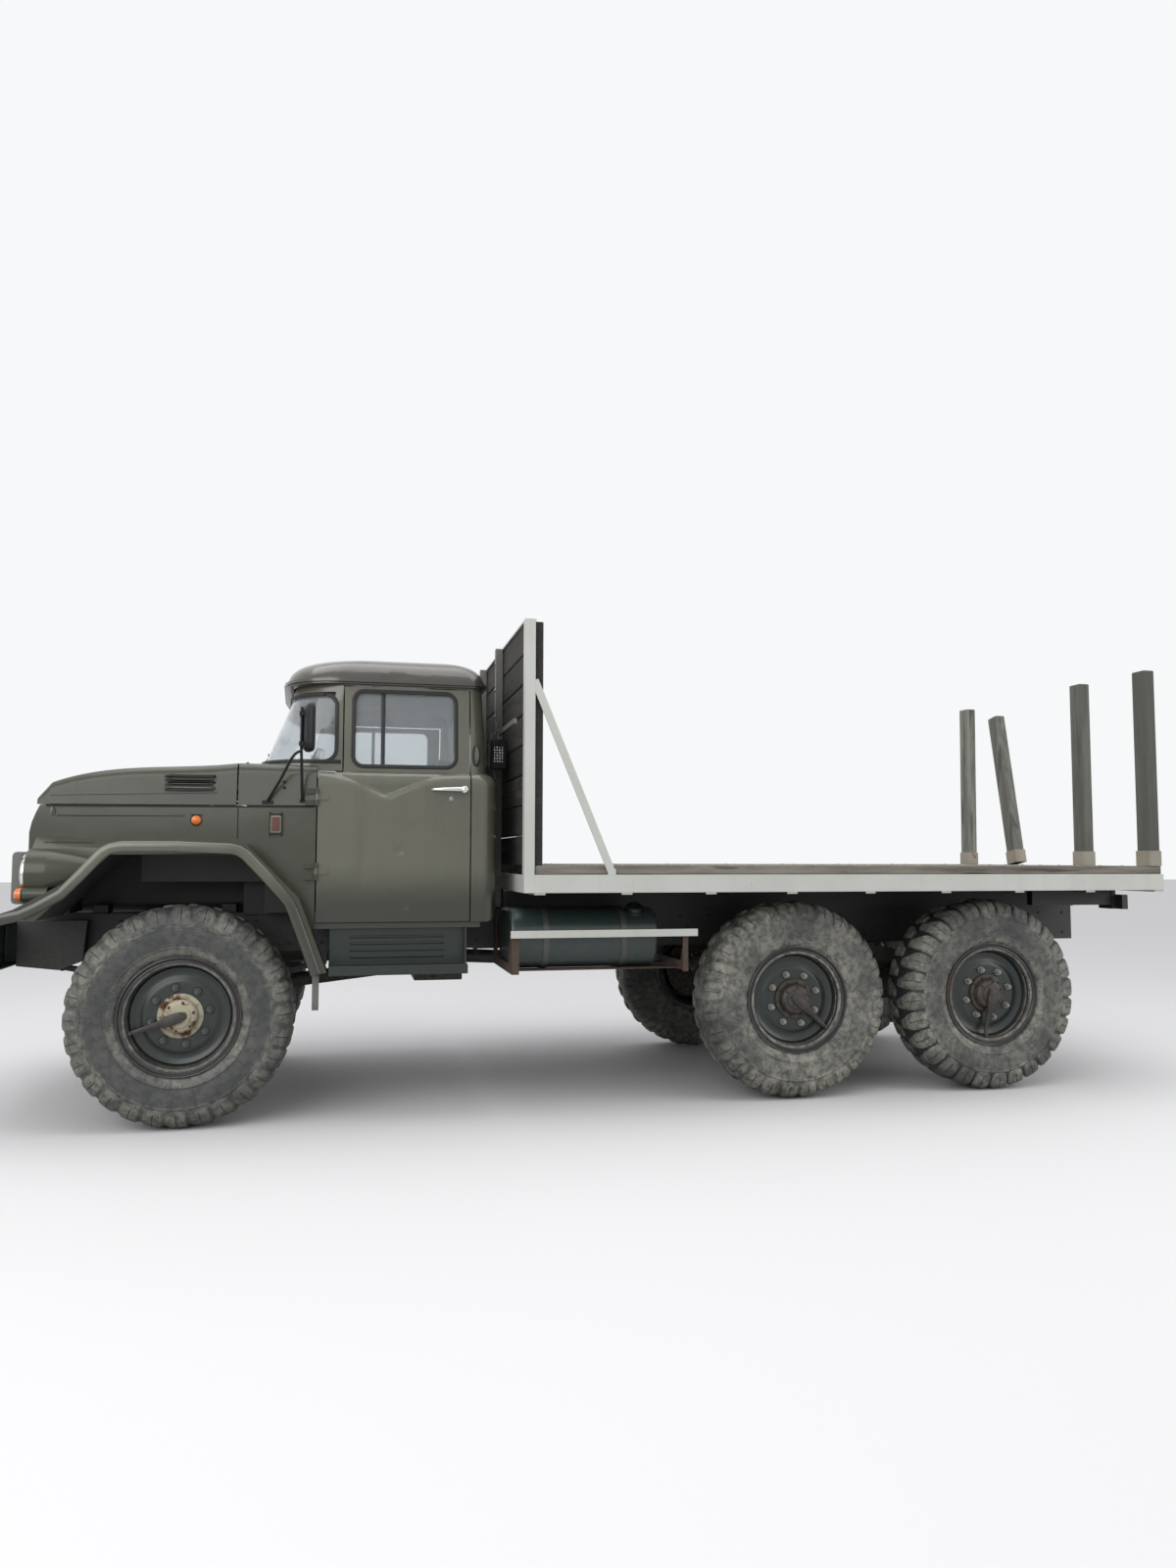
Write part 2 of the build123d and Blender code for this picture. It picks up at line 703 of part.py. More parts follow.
# Window glass, 6 mm thick in the middle of the walls
with BuildPart() as glass_layer:
    add(upper_cab(14))
    add(upper_cab(20), mode=Mode.SUBTRACT)

with BuildPart() as windscreen:
    extrude(screen_region(), amount=2400)
    add(glass_layer.part, mode=Mode.INTERSECT)
save(windscreen, "windscreen")

with BuildPart() as rear_glass:
    extrude(rear_region(), amount=200)
    add(glass_layer.part, mode=Mode.INTERSECT)
save(rear_glass, "rear_glass")

# Door hinges: outside the skin at the front edge, one barrel on the door between two on the wing
hinge_x = (door_front_x + cab_front_x) / 2
hinge_y = cab_half + 12
hinge_radius = 10
hinge_heights = (1300, 1690)
barrel_length = 30
for hand, side in (("left", 1), ("right", -1)):
    with BuildPart() as door:
        extrude(door_outline(side, 0), amount=-side * 600)
        add(cab_walls.part, mode=Mode.INTERSECT)
        extrude(side_window(side), amount=-side * 600, mode=Mode.SUBTRACT)
        for z in hinge_heights:
            bar((hinge_x, side * hinge_y, z - barrel_length / 2), (hinge_x, side * hinge_y, z + barrel_length / 2),
                hinge_radius)
            block(hinge_x - 60, hinge_x, side * (cab_half - 1), side * (cab_half + 6), z - 14, z + 14)
    save(door, "door_" + hand)
    with BuildPart() as door_glass:
        extrude(side_window(side), amount=-side * 600)
        add(glass_layer.part, mode=Mode.INTERSECT)
    save(door_glass, "door_glass_" + hand)


# Bonnet and scuttle share one cross section, which narrows and drops towards the nose
# x, half width, crown height
hood_sections = (
    (seam_x + 8, cab_half - 62, 1900),
    (front_axle_x + 240, cab_half - 118, 1872),
    (front_axle_x + 520, cab_half - 152, 1838),
    (front_axle_x + 680, cab_half - 176, 1792),
)
nose_section = (front_axle_x + 743, cab_half - 192, 1712)


def hood_section(x, half, crown, inset=0):
    """Upright sides, rounded shoulders and a slightly crowned top."""
    side_top = crown - 34
    shoulder_radius = min(60, 0.8 * (side_top - hood_line_z))
    with BuildSketch(along(x)) as section:
        with BuildLine():
            Polyline((half - 10 - inset, side_top - inset), (half - inset, hood_line_z),
                     (-half + inset, hood_line_z), (-half + 10 + inset, side_top - inset))
            ThreePointArc((-half + 10 + inset, side_top - inset), (0, crown - inset),
                          (half - 10 - inset, side_top - inset))
        make_face()
        fillet(section.vertices().group_by(Axis.Y)[-1], shoulder_radius - inset)
    return section.sketch


seam_half = cab_half - 60
# Bonnet hinges: a barrel across the seam, just above the panels
bonnet_pin_x = seam_x + 4
bonnet_pin_z = 1911
with BuildPart() as hood:
    loft([hood_section(*section) for section in hood_sections])
    loft([hood_section(*hood_sections[-1]), hood_section(*nose_section)])
    loft([hood_section(*section, hood_wall) for section in hood_sections], mode=Mode.SUBTRACT)
    # Three cooling slots in each side
    for i in range(3):
        with Locations((front_axle_x - 20, 0, hood_line_z + 85 + i * 32)):
            Box(240, 2200, 13, mode=Mode.SUBTRACT)
    for side in (1, -1):
        inner = 330 - running_gap
        block(bonnet_pin_x, seam_x + 48, side * (inner - 60), side * inner, bonnet_pin_z - 30, bonnet_pin_z - 4)
        bar((bonnet_pin_x, side * (inner - 60), bonnet_pin_z), (bonnet_pin_x, side * inner, bonnet_pin_z),
            hinge_radius)
save(hood, "hood")


def fixed_hinge(side, z):
    """The leaf and the two outer barrels of a door hinge, on the panel in front of the door."""
    step = barrel_length + running_gap
    for end in (-1, 1):
        middle = z + end * step
        bar((hinge_x, side * hinge_y, middle - barrel_length / 2),
            (hinge_x, side * hinge_y, middle + barrel_length / 2), hinge_radius)
        block(hinge_x, hinge_x + 60, side * (hinge_y - 26), side * (hinge_y - 5), middle - 14, middle + 14)


with BuildPart() as cowl:
    loft([hood_section(cab_front_x, cab_half - 3, 1893), hood_section(seam_x, seam_half, 1900)])
    loft([hood_section(cab_front_x, cab_half - 3, 1893, hood_wall),
          hood_section(seam_x, seam_half, 1900, hood_wall)], mode=Mode.SUBTRACT)
    add(upper_outer, mode=Mode.SUBTRACT)
    # Bulkhead and foot well between the wings, and the flange that lies over each wing
    well_half = wing_inner - running_gap
    block(bulkhead_x, bulkhead_x + 12, -well_half, well_half, floor_bottom, belt_z - 2)
    block(cab_front_x, bulkhead_x + 12, -well_half, well_half, floor_bottom, floor_top)
    for side in (1, -1):
        block(cab_front_x, bulkhead_x + 12, side * (well_half - 10), side * well_half, floor_bottom,
              hood_line_z + 10)
        block(cab_front_x, bulkhead_x + 12, side * (well_half - 10), side * seam_half,
              wing_top + running_gap, hood_line_z + 10)
        for z in hinge_heights:
            if z > wing_top:
                fixed_hinge(side, z)
        # Fixed leaf and barrel of each bonnet hinge
        block(seam_x - 40, bonnet_pin_x, side * 330, side * 400, bonnet_pin_z - 30, bonnet_pin_z - 4)
        bar((bonnet_pin_x, side * 330, bonnet_pin_z), (bonnet_pin_x, side * 400, bonnet_pin_z), hinge_radius)
save(cowl, "cowl")

# Wheel arch in side view, relative to the front axle: opening, then outer edge of the lip
arch_opening = ((662, 1062), (331, 1385), (-288, 1394), (-569, 1125), (-659, 769))
arch_lip = ((850, 1088), (762, 1117), (544, 1241), (341, 1454), (-306, 1443), (-575, 1168), (-722, 784))
wing_plan = ((cab_front_x, cab_half - 3), (seam_x, seam_half), (wing_front_x, cab_half - 182))
cheek_rear = front_axle_x + 210
cheek_front = wing_front_x - 42
crease_z = 1490
lamp_y = cab_half - 58
lamp_z = 1290
pod_radius = 124
signal_y = cab_half + 34
signal_z = 1188
for hand, side in (("left", 1), ("right", -1)):
    with BuildPart() as wing:
        # Upright side wall that follows the bonnet's taper
        with BuildSketch(Plane.XY.offset(sill_bottom)):
            with BuildLine():
                Polyline(*[(x, side * y) for x, y in wing_plan], (wing_front_x, side * wing_inner),
                         (cab_front_x, side * wing_inner), close=True)
            make_face()
        extrude(amount=wing_top - sill_bottom)
        # Cheek that swells out below the crease, and the round pod of the headlamp in it
        with BuildSketch(along(cheek_rear)):
            with BuildLine():
                Polyline(
                    (side * wing_inner, 1100),
                    (side * (cab_half - 28), 1100),
                    (side * (cab_half - 28), 1330),
                    (side * (cab_half - 88), 1420),
                    (side * (cab_half - 180), crease_z),
                    (side * wing_inner, crease_z),
                    close=True,
                )
            make_face()
        extrude(amount=cheek_front - cheek_rear)
        with BuildSketch(Plane(origin=(cheek_front, side * lamp_y, lamp_z), x_dir=(0, 0, 1), z_dir=(0, -1, 0))):
            with BuildLine():
                Polyline((0, 0), (pod_radius, 0), (pod_radius, 90))
                ThreePointArc((pod_radius, 90), (pod_radius - 22, 220), (0, cheek_front - cheek_rear))
                Line((0, cheek_front - cheek_rear), (0, 0))
            make_face()
        revolve(axis=Axis((cheek_front, side * lamp_y, lamp_z), (1, 0, 0)))
        bar((cheek_front - 110, side * signal_y, signal_z), (cheek_front, side * signal_y, signal_z), 38)
        # Shelf over the wheel: everything inside the lip's outer edge
        with BuildSketch(across(side * wing_inner)):
            with BuildLine():
                Polyline(*[(front_axle_x + x, z) for x, z in arch_lip],
                         *[(front_axle_x + x, z) for x, z in reversed(arch_opening)], close=True)
            make_face()
        extrude(amount=-side * (wing_half - wing_inner))
        # The wheel's opening through it all
        with BuildSketch(across(side * (wing_inner - 40))):
            with BuildLine():
                Polyline((front_axle_x + 850, 600), (front_axle_x + 900, 1080),
                         *[(front_axle_x + x, z) for x, z in arch_opening],
                         (front_axle_x - 640, 600), close=True)
            make_face()
        extrude(amount=-side * 800, mode=Mode.SUBTRACT)
        # Inner apron between the wheel and the engine
        block(bulkhead_x + 16, cheek_rear + 60, side * wing_inner, side * (wing_inner + 8), 1240, crease_z)
        # Below the scuttle only the lip reaches down past the door
        block(front_axle_x - 790, front_axle_x - 590, side * (wing_inner - 10), side * (wing_half - 190), 600,
              sill_bottom, mode=Mode.SUBTRACT)
        # Fixed halves of the door hinges
        for z in hinge_heights:
            if z < wing_top:
                fixed_hinge(side, z)
    save(wing, "wing_" + hand)

# Radiator grille: an upright panel with tall slots
grille_half = wing_inner - running_gap
grille_bottom = 1110
slot_count = 12
slot_pitch = 84
slot_height = 400
with BuildPart() as grille:
    block(wing_front_x - 16, wing_front_x + 14, -grille_half, grille_half, grille_bottom, wing_top)
    with BuildSketch(along(wing_front_x - 30)):
        with Locations((0, (grille_bottom + wing_top) / 2)):
            with GridLocations(slot_pitch, 0, slot_count, 1):
                SlotOverall(slot_height, 44, rotation=90)
    extrude(amount=80, mode=Mode.SUBTRACT)
    for side in (1, -1):
        block(wing_front_x - 16, wing_front_x + 14, side * (frame_half - 70), side * frame_half,
              frame_top + running_gap, grille_bottom + 1)
save(grille, "grille")

# Headlamps in the cheeks, each behind two upright guard bars
with BuildPart() as headlamps:
    for side in (1, -1):
        y = side * lamp_y
        bar((cheek_front, y, lamp_z), (cheek_front + 20, y, lamp_z), 100)
        bar((cheek_front + 19, y, lamp_z), (cheek_front + 32, y, lamp_z), 86)
save(headlamps, "headlamps")

guard_low, guard_high = 1140, 1398
with BuildPart() as lamp_guards:
    for side in (1, -1):
        for shift in (-66, 60):
            y = side * (lamp_y + shift)
            block(cheek_front + 58, cheek_front + 66, y - 16, y + 16, guard_low, guard_high)
            block(cheek_front, cheek_front + 60, y - 16, y + 16, guard_high - 8, guard_high)
            block(cheek_front, cheek_front + 60, y - 16, y + 16, guard_low, guard_low + 8)
save(lamp_guards, "lamp_guards")


def wall_y(x):
    """Outer face of the side wall at a given X."""
    for (x0, y0), (x1, y1) in zip(wing_plan, wing_plan[1:]):
        if x0 <= x <= x1:
            return y0 + (y1 - y0) * (x - x0) / (x1 - x0)


with BuildPart() as side_lamps:
    repeater_x = front_axle_x - 48
    repeater_radius = 32
    repeater_y = wall_y(repeater_x - repeater_radius) + running_gap
    square_x = front_axle_x - 475
    square_y = wall_y(square_x) + running_gap
    for side in (1, -1):
        bar((cheek_front, side * signal_y, signal_z), (cheek_front + 44, side * signal_y, signal_z), 34)
        bar((repeater_x, side * repeater_y, 1565), (repeater_x, side * (repeater_y + 20), 1565), repeater_radius)
        block(square_x, square_x + 53, side * square_y, side * (square_y + 22), 1528, 1606)
save(side_lamps, "side_lamps")

# Door mirrors on stays
mirror_x = front_axle_x - 600
mirror_y = cab_half + 142
with BuildPart() as mirrors:
    for side in (1, -1):
        head = (mirror_x, side * mirror_y, 1905)
        for x in (mirror_x + 20, mirror_x + 210):
            foot_y = wall_y(x - 16) + running_gap
            block(x - 16, x + 16, side * foot_y, side * (foot_y + 14), hood_line_z - 40, wing_top)
            bar((x, side * (foot_y + 12), hood_line_z - 24), head, 8)
        bar(head, (mirror_x, side * mirror_y, 1960), 8)
        with Locations((mirror_x, side * mirror_y, 2040)):
            Box(46, 150, 252)
save(mirrors, "mirrors")

# Interior
dash_front = bulkhead_x - running_gap
dash_low = hood_line_z + 13
dash_half = cab_half - 188
column_y = 430
column_foot = (door_front_x + 10, column_y, 1330)
column_top = (door_front_x - 300, column_y, 1660)
with BuildPart() as dashboard:
    with BuildSketch(across(dash_half)):
        with BuildLine():
            Polyline(
                (door_front_x - 70, 1560),
                (door_front_x - 130, 1640),
                (door_front_x - 110, 1760),
                (door_front_x - 30, 1800),
                (dash_front, 1822),
                (dash_front, dash_low),
                (door_front_x - 5, dash_low),
                close=True,
            )
        make_face()
    extrude(amount=2 * dash_half)
    bar(column_foot, column_top, 26)
    block(door_front_x - 230, door_front_x - 85, column_y - 12, column_y + 12, 1570, 1620)
save(dashboard, "dashboard")

column_dir = (Vector(*column_top) - Vector(*column_foot)).normalized()
wheel_centre = Vector(*column_top) + column_dir * (14 + running_gap)
with BuildPart() as steering_wheel:
    wheel_face = Plane(origin=wheel_centre, x_dir=(0, 1, 0), z_dir=column_dir)
    with BuildSketch(Plane(origin=wheel_centre, x_dir=(0, 1, 0), z_dir=Vector(0, 1, 0).cross(column_dir))):
        with Locations((215, 0)):
            RegularPolygon(14, 8)
    revolve(axis=Axis(wheel_centre, column_dir))
    with BuildSketch(wheel_face):
        Circle(46)
    extrude(amount=14, both=True)
    for turn in (90, 210, 330):
        spoke = Vector(0, 1, 0).rotate(Axis((0, 0, 0), column_dir), turn)
        bar(tuple(wheel_centre), tuple(wheel_centre + spoke * 212), 9)
save(steering_wheel, "steering_wheel")

# Driver's seat and a bench for two: y from, y to
seats = ((cab_half - 858, cab_half - 358), (308 - cab_half, 90))
seat_rear = cab_rear_x + 212
seat_front = cab_rear_x + 672
cushion_bottom = 1330
cushion_depth = 120
with BuildPart() as seat_cushions:
    for y0, y1 in seats:
        block(seat_rear, seat_front, y0, y1, cushion_bottom, cushion_bottom + cushion_depth)
    fillet(seat_cushions.edges(), 22)
save(seat_cushions, "seat_cushions")

back_bottom = cushion_bottom + cushion_depth + running_gap
back_top = 1960
with BuildPart() as seat_backs:
    for y0, y1 in seats:
        with BuildSketch(across(y1)):
            with BuildLine():
                Polyline((seat_rear - 5, back_bottom), (seat_rear + 95, back_bottom),
                         (seat_rear + 15, back_top), (seat_rear - 75, back_top), close=True)
            make_face()
        extrude(amount=y1 - y0)
    fillet(seat_backs.edges(), 20)
save(seat_backs, "seat_backs")

with BuildPart() as seat_frames:
    for y0, y1 in seats:
        block(seat_rear - 10, seat_front + 5, y0 + 10, y1 - 10, cushion_bottom - 20, cushion_bottom - running_gap)
        for x in (seat_rear + 30, seat_front - 50):
            for y in (y0 + 50, y1 - 50):
                bar((x, y, floor_top + running_gap), (x, y, cushion_bottom - 19), 16)
save(seat_frames, "seat_frames")

# Steps below the doors: ribbed riser over a tread, on brackets from the frame
step_front = door_front_x - 70
step_rear = cab_rear_x + 164
step_inner = 640
riser_y = cab_half - 44
tread_y = cab_half + 84
tread_bottom, tread_top = 764, 812
step_top = cab_floor_z - 31
rib_heights = (850, 885, 920, 955)
with BuildPart() as steps:
    for side in (1, -1):
        block(step_rear + 12, step_front, side * step_inner, side * riser_y, tread_top, step_top)
        block(step_rear, step_front, side * step_inner, side * tread_y, tread_bottom, tread_top + 1)
        block(step_rear, step_rear + 13, side * step_inner, side * (riser_y + 56), tread_bottom, step_top)
        for z in rib_heights:
            block(step_rear + 118, step_front - 110, side * (riser_y - 1), side * (riser_y + 10), z - 5, z + 5)
        for x in (step_rear + 58, step_front - 80):
            block(x - 30, x + 30, side * (frame_half + running_gap), side * (step_inner + 1), 800, 860)
save(steps, "steps")

# Fuel tanks beside the frame, on cradles with a white guard bar outside
tank_front = bed_front + 31
tank_rear = bed_front - 801
tank_bottom, tank_top = 762, 1092
tank_y = frame_half + 348
tank_width = 480
with BuildPart() as fuel_tanks:
    for side in (1, -1):
        with BuildSketch(along(tank_rear)):
            with Locations((side * tank_y, (tank_bottom + tank_top) / 2)):
                RectangleRounded(tank_width, tank_top - tank_bottom, 150)
        extrude(amount=tank_front - tank_rear)
    fillet(fuel_tanks.faces().filter_by(Axis.X).edges(), 18)
save(fuel_tanks, "fuel_tanks")

guard_y = bed_half - 108
tray_bottom = tank_bottom - 10
guard_low_z, guard_high_z = 945, 985
# Cradle plates: x, and the way their outer flange points
cradle_plates = ((bed_front + 41, 1), (bed_front - 933, -1))
with BuildPart() as tank_guards:
    for side in (1, -1):
        inner = frame_half + running_gap
        for x, way in cradle_plates:
            with BuildSketch(along(x - 5)):
                with BuildLine():
                    Polyline(
                        (side * inner, frame_top - 20),
                        (side * inner, tray_bottom),
                        (side * guard_y, tray_bottom),
                        (side * guard_y, guard_high_z),
                        (side * (guard_y - 40), guard_high_z),
                        (side * (guard_y - 112), 800),
                        (side * 560, 800),
                        (side * 500, frame_top - 20),
                        close=True,
                    )
                make_face()
            extrude(amount=10)
            block(x - 5 - 30 * way, x + 5, side * (guard_y - 8), side * guard_y, tray_bottom, guard_high_z)
        # Trays the tank rests on, and the bar
        for y in (tank_y - 140, tank_y + 140):
            block(cradle_plates[1][0], cradle_plates[0][0], side * (y - 40), side * (y + 40), tray_bottom,
                  tank_bottom - running_gap)
        block(bed_front - 989, bed_front + 53, side * (guard_y - 1), side * (guard_y + 16), guard_low_z,
              guard_high_z)
save(tank_guards, "tank_guards")

# Compressed-air reservoirs across the frame, between the webs
reservoir_half = frame_half - frame_wall - running_gap
reservoir_z = frame_top - frame_depth / 2
with BuildPart() as air_reservoirs:
    for x in (bed_front - 415, bed_front - 655):
        bar((x, -reservoir_half, reservoir_z), (x, reservoir_half, reservoir_z), 94)
save(air_reservoirs, "air_reservoirs")

# Load bed: longitudinal sills, cross bearers, side rails and end rails
bearer_count = 9
bearer_half = 30
sill_top = rail_bottom - 10
post_x = bed_front - 56
post_wall = 8
with BuildPart() as bed_frame:
    for side in (1, -1):
        block(rear_end + 20, bed_front - 20, side * (frame_half - 76), side * frame_half, frame_top, sill_top)
        with BuildSketch(along(rear_end)):
            with Locations((side * (bed_half - rail_width / 2), rail_bottom + rail_depth / 2)):
                Rectangle(rail_width, rail_depth)
            with Locations((side * (bed_half - rail_width / 2 - 6), rail_bottom + rail_depth / 2)):
                Rectangle(rail_width, rail_depth - 12, mode=Mode.SUBTRACT)
        extrude(amount=post_x - rear_end)
    first, last = rear_end + bearer_half, post_x - bearer_half
    for i in range(bearer_count):
        x = first + (last - first) * i / (bearer_count - 1)
        block(x - bearer_half, x + bearer_half, -bed_half + 4, bed_half - 4, sill_top - 1, deck_bottom - 8)
    block(rear_end, rear_end + 8, -bed_half, bed_half, rail_bottom, rail_bottom + rail_depth)
save(bed_frame, "bed_frame")

deck_half = bed_half - 10
plank_pitch = 2 * deck_half / plank_count
with BuildPart() as bed_planks:
    for i in range(plank_count):
        y = -deck_half + plank_pitch * (i + 0.5)
        block(rear_end + 4, post_x - 6, y - (plank_pitch - plank_gap) / 2, y + (plank_pitch - plank_gap) / 2,
              rail_bottom + rail_depth, deck_top)
save(bed_planks, "bed_planks")

# Headboard: steel angle posts and uprights in front of dark boards, with side braces down to the rails
board_count = 8
upright_y = 380
brace_y = bed_half - 5
brace_foot_x = bed_front - 477
with BuildPart() as headboard_frame:
    for side in (1, -1):
        block(post_x, bed_front, side * bed_half, side * (bed_half - post_wall), rail_bottom, headboard_top)
        block(bed_front - post_wall, bed_front, side * bed_half, side * (bed_half - post_depth), rail_bottom,
              headboard_top)
        block(bed_front, bed_front + 40, side * (upright_y - 25), side * (upright_y + 25), frame_top + 20,
              headboard_top - 6)
        flat_bar((post_x + 4, side * brace_y, headboard_top - 331),
                 (brace_foot_x, side * brace_y, rail_bottom + rail_depth + 12), (0, 1, 0), 8, 42)
        block(brace_foot_x - 22, brace_foot_x + 22, side * (brace_y - 4), side * (brace_y + 4),
              rail_bottom + rail_depth, rail_bottom + rail_depth + 30)
    # Cap along the top, and the front rail of the bed
    block(post_x - 4, bed_front, -bed_half, bed_half, headboard_top - 10, headboard_top)
    block(bed_front - post_wall, bed_front, -bed_half + post_depth, bed_half - post_depth, rail_bottom,
          rail_bottom + rail_depth)
save(headboard_frame, "headboard_frame")

board_height = (headboard_top - 12 - deck_top) / board_count
with BuildPart() as headboard_boards:
    for i in range(board_count):
        z = deck_top + 1 + i * board_height
        block(post_x + 16, bed_front - post_wall - running_gap, -bed_half + 9, bed_half - 9, z,
              z + board_height - 4)
    for side in (1, -1):
        block(post_x - 46, post_x - running_gap, side * (bed_half - 20), side * (bed_half - 80),
              deck_top + running_gap, headboard_top - 11)
save(headboard_boards, "headboard_boards")

# Stakes along the rear edge: y at the foot, y at the top, height of the top
stake_x = rear_end + 48
stake_places = ((bed_half - 62, bed_half - 62, 2530), (595, 595, 2540), (-140, -362, 2440), (-760, -742, 2550))
stake_size = (76, 104)
socket_wall = 5
socket_height = 92


def stake_axis(foot, head, top):
    """Where a stake starts, clear of the deck at its lean, and the direction it points."""
    run = Vector(0, head - foot, top - deck_top).normalized()
    lift = (stake_size[1] / 2 + socket_wall + 1) * abs(run.Y)
    return Vector(stake_x, foot, deck_top + running_gap + lift), run


with BuildPart() as stakes:
    for foot, head, top in stake_places:
        start, run = stake_axis(foot, head, top)
        flat_bar(tuple(start), tuple(start + run * ((top - start.Z) / run.Z)), (1, 0, 0), *stake_size)
save(stakes, "stakes")

with BuildPart() as stake_sockets:
    for foot, head, top in stake_places:
        start, run = stake_axis(foot, head, top)
        grow = 2 * running_gap
        outer = grow + 2 * socket_wall
        flat_bar(tuple(start), tuple(start + run * socket_height), (1, 0, 0), stake_size[0] + outer,
                 stake_size[1] + outer)
    for foot, head, top in stake_places:
        start, run = stake_axis(foot, head, top)
        flat_bar(tuple(start - run * 5), tuple(start + run * (socket_height + 5)), (1, 0, 0), stake_size[0] + grow,
                 stake_size[1] + grow, mode=Mode.SUBTRACT)
save(stake_sockets, "stake_sockets")

# Tail lamps under the rear rail
tail_lamp_y = bed_half - 400
with BuildPart() as tail_lamps:
    for side in (1, -1):
        block(rear_end + 60, rear_end + 90, side * (tail_lamp_y - 70), side * (tail_lamp_y + 50), frame_top,
              sill_top - 1)
        block(rear_end + 20, rear_end + 61, side * (tail_lamp_y - 110), side * (tail_lamp_y + 110), frame_top,
              frame_top + 90)
save(tail_lamps, "tail_lamps")
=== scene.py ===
import bpy
import bmesh
from functools import partial
from math import atan2, cos, pi, radians, sin
from mathutils import Matrix, Vector, noise
from mathutils.bvhtree import BVHTree


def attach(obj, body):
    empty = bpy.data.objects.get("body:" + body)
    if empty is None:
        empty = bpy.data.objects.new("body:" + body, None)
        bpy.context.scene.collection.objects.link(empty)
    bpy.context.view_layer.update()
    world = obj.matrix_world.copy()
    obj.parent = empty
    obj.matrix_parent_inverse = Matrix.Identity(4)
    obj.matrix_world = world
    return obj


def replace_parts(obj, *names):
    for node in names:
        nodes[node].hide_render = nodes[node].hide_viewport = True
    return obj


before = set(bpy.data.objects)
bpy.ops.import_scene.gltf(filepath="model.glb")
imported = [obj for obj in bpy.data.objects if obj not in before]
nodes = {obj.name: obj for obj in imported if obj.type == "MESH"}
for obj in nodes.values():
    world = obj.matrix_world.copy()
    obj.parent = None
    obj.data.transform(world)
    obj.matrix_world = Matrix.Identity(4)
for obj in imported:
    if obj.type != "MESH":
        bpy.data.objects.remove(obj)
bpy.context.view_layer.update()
print("frame loaded:", len(nodes), "pieces")

palette = {
    "olive": (0.1, 0.1, 0.071),
    "oliveWorn": (0.04, 0.04, 0.027),
    "oliveNoseShaded": (0.048, 0.05, 0.034),
    "roof": (0.04, 0.036, 0.027),
    "deepGreen": (0.008, 0.015, 0.013),
    "chassis": (0.014, 0.014, 0.014),
    "pale": (0.54, 0.55, 0.51),
    "rust": (0.17, 0.068, 0.03),
    "rustDark": (0.045, 0.02, 0.012),
    "dust": (0.24, 0.22, 0.18),
    "rubber": (0.02, 0.024, 0.026),
    "tyreDust": (0.33, 0.32, 0.27),
    "boardDark": (0.011, 0.01, 0.009),
    "boardLight": (0.045, 0.038, 0.031),
    "plankDark": (0.07, 0.06, 0.048),
    "plankLight": (0.26, 0.24, 0.2),
    "stakeDark": (0.075, 0.075, 0.065),
    "stakeLight": (0.26, 0.26, 0.225),
    "cream": (0.42, 0.39, 0.28),
    "seat": (0.028, 0.026, 0.024),
}



# Shader groups: each is built once and placed in the materials with its own values
def newGroup(name, inputs, outputs):
    group = bpy.data.node_groups.new(name, "ShaderNodeTree")
    for label, kind, value in inputs:
        group.interface.new_socket(label, in_out="INPUT", socket_type="NodeSocket" + kind).default_value = value
    for label, kind in outputs:
        group.interface.new_socket(label, in_out="OUTPUT", socket_type="NodeSocket" + kind)
    return group, group.nodes.new("NodeGroupInput").outputs, group.nodes.new("NodeGroupOutput").inputs


def put(tree, kind, **settings):
    node = tree.nodes.new("ShaderNode" + kind)
    for key, value in settings.items():
        setattr(node, key, value)
    return node


def feed(tree, sockets, values):
    # A number or colour is set, another node's output is linked
    for label, value in values.items():
        if isinstance(value, (int, float, tuple)):
            sockets[label].default_value = value
        else:
            tree.links.new(value, sockets[label])


def calc(tree, operation, a, b):
    # Sums and differences stay between 0 and 1
    node = put(tree, "Math", operation=operation, use_clamp=operation in ("ADD", "SUBTRACT"))
    feed(tree, node.inputs, {0: a, 1: b})
    return node.outputs[0]


def ramp(tree, value, low, high):
    node = put(tree, "MapRange", interpolation_type="SMOOTHSTEP")
    feed(tree, node.inputs, {"Value": value, "From Min": low, "From Max": high})
    return node.outputs["Result"]


def clouds(tree, vector, scale, detail, rough):
    node = put(tree, "TexNoise")
    feed(tree, node.inputs, {"Vector": vector, "Scale": scale, "Detail": detail, "Roughness": rough})
    return node.outputs[0]


def mix(tree, factor, low, high):
    node = put(tree, "Mix", data_type="RGBA")
    feed(tree, node.inputs, {0: factor, 6: low, 7: high})
    return node.outputs[2]


def attribute(tree, name):
    return put(tree, "Attribute", attribute_name=name).outputs["Fac"]


def toolsOf(tree):
    # Sum, difference, product, ramp, noise, mix and attribute, all for one tree
    return ([partial(calc, tree, operation) for operation in ("ADD", "SUBTRACT", "MULTIPLY")]
            + [partial(tool, tree) for tool in (ramp, clouds, mix, attribute)])


weatherValues = {"blotchSize": 1.7, "grainSize": 38, "streaks": (9, 9, 0.7), "spotSize": 7.5, "dustFoot": 0.35,
                 "shadeEdge": 0.82, "waveSize": 2.6, "rippleSize": 7}


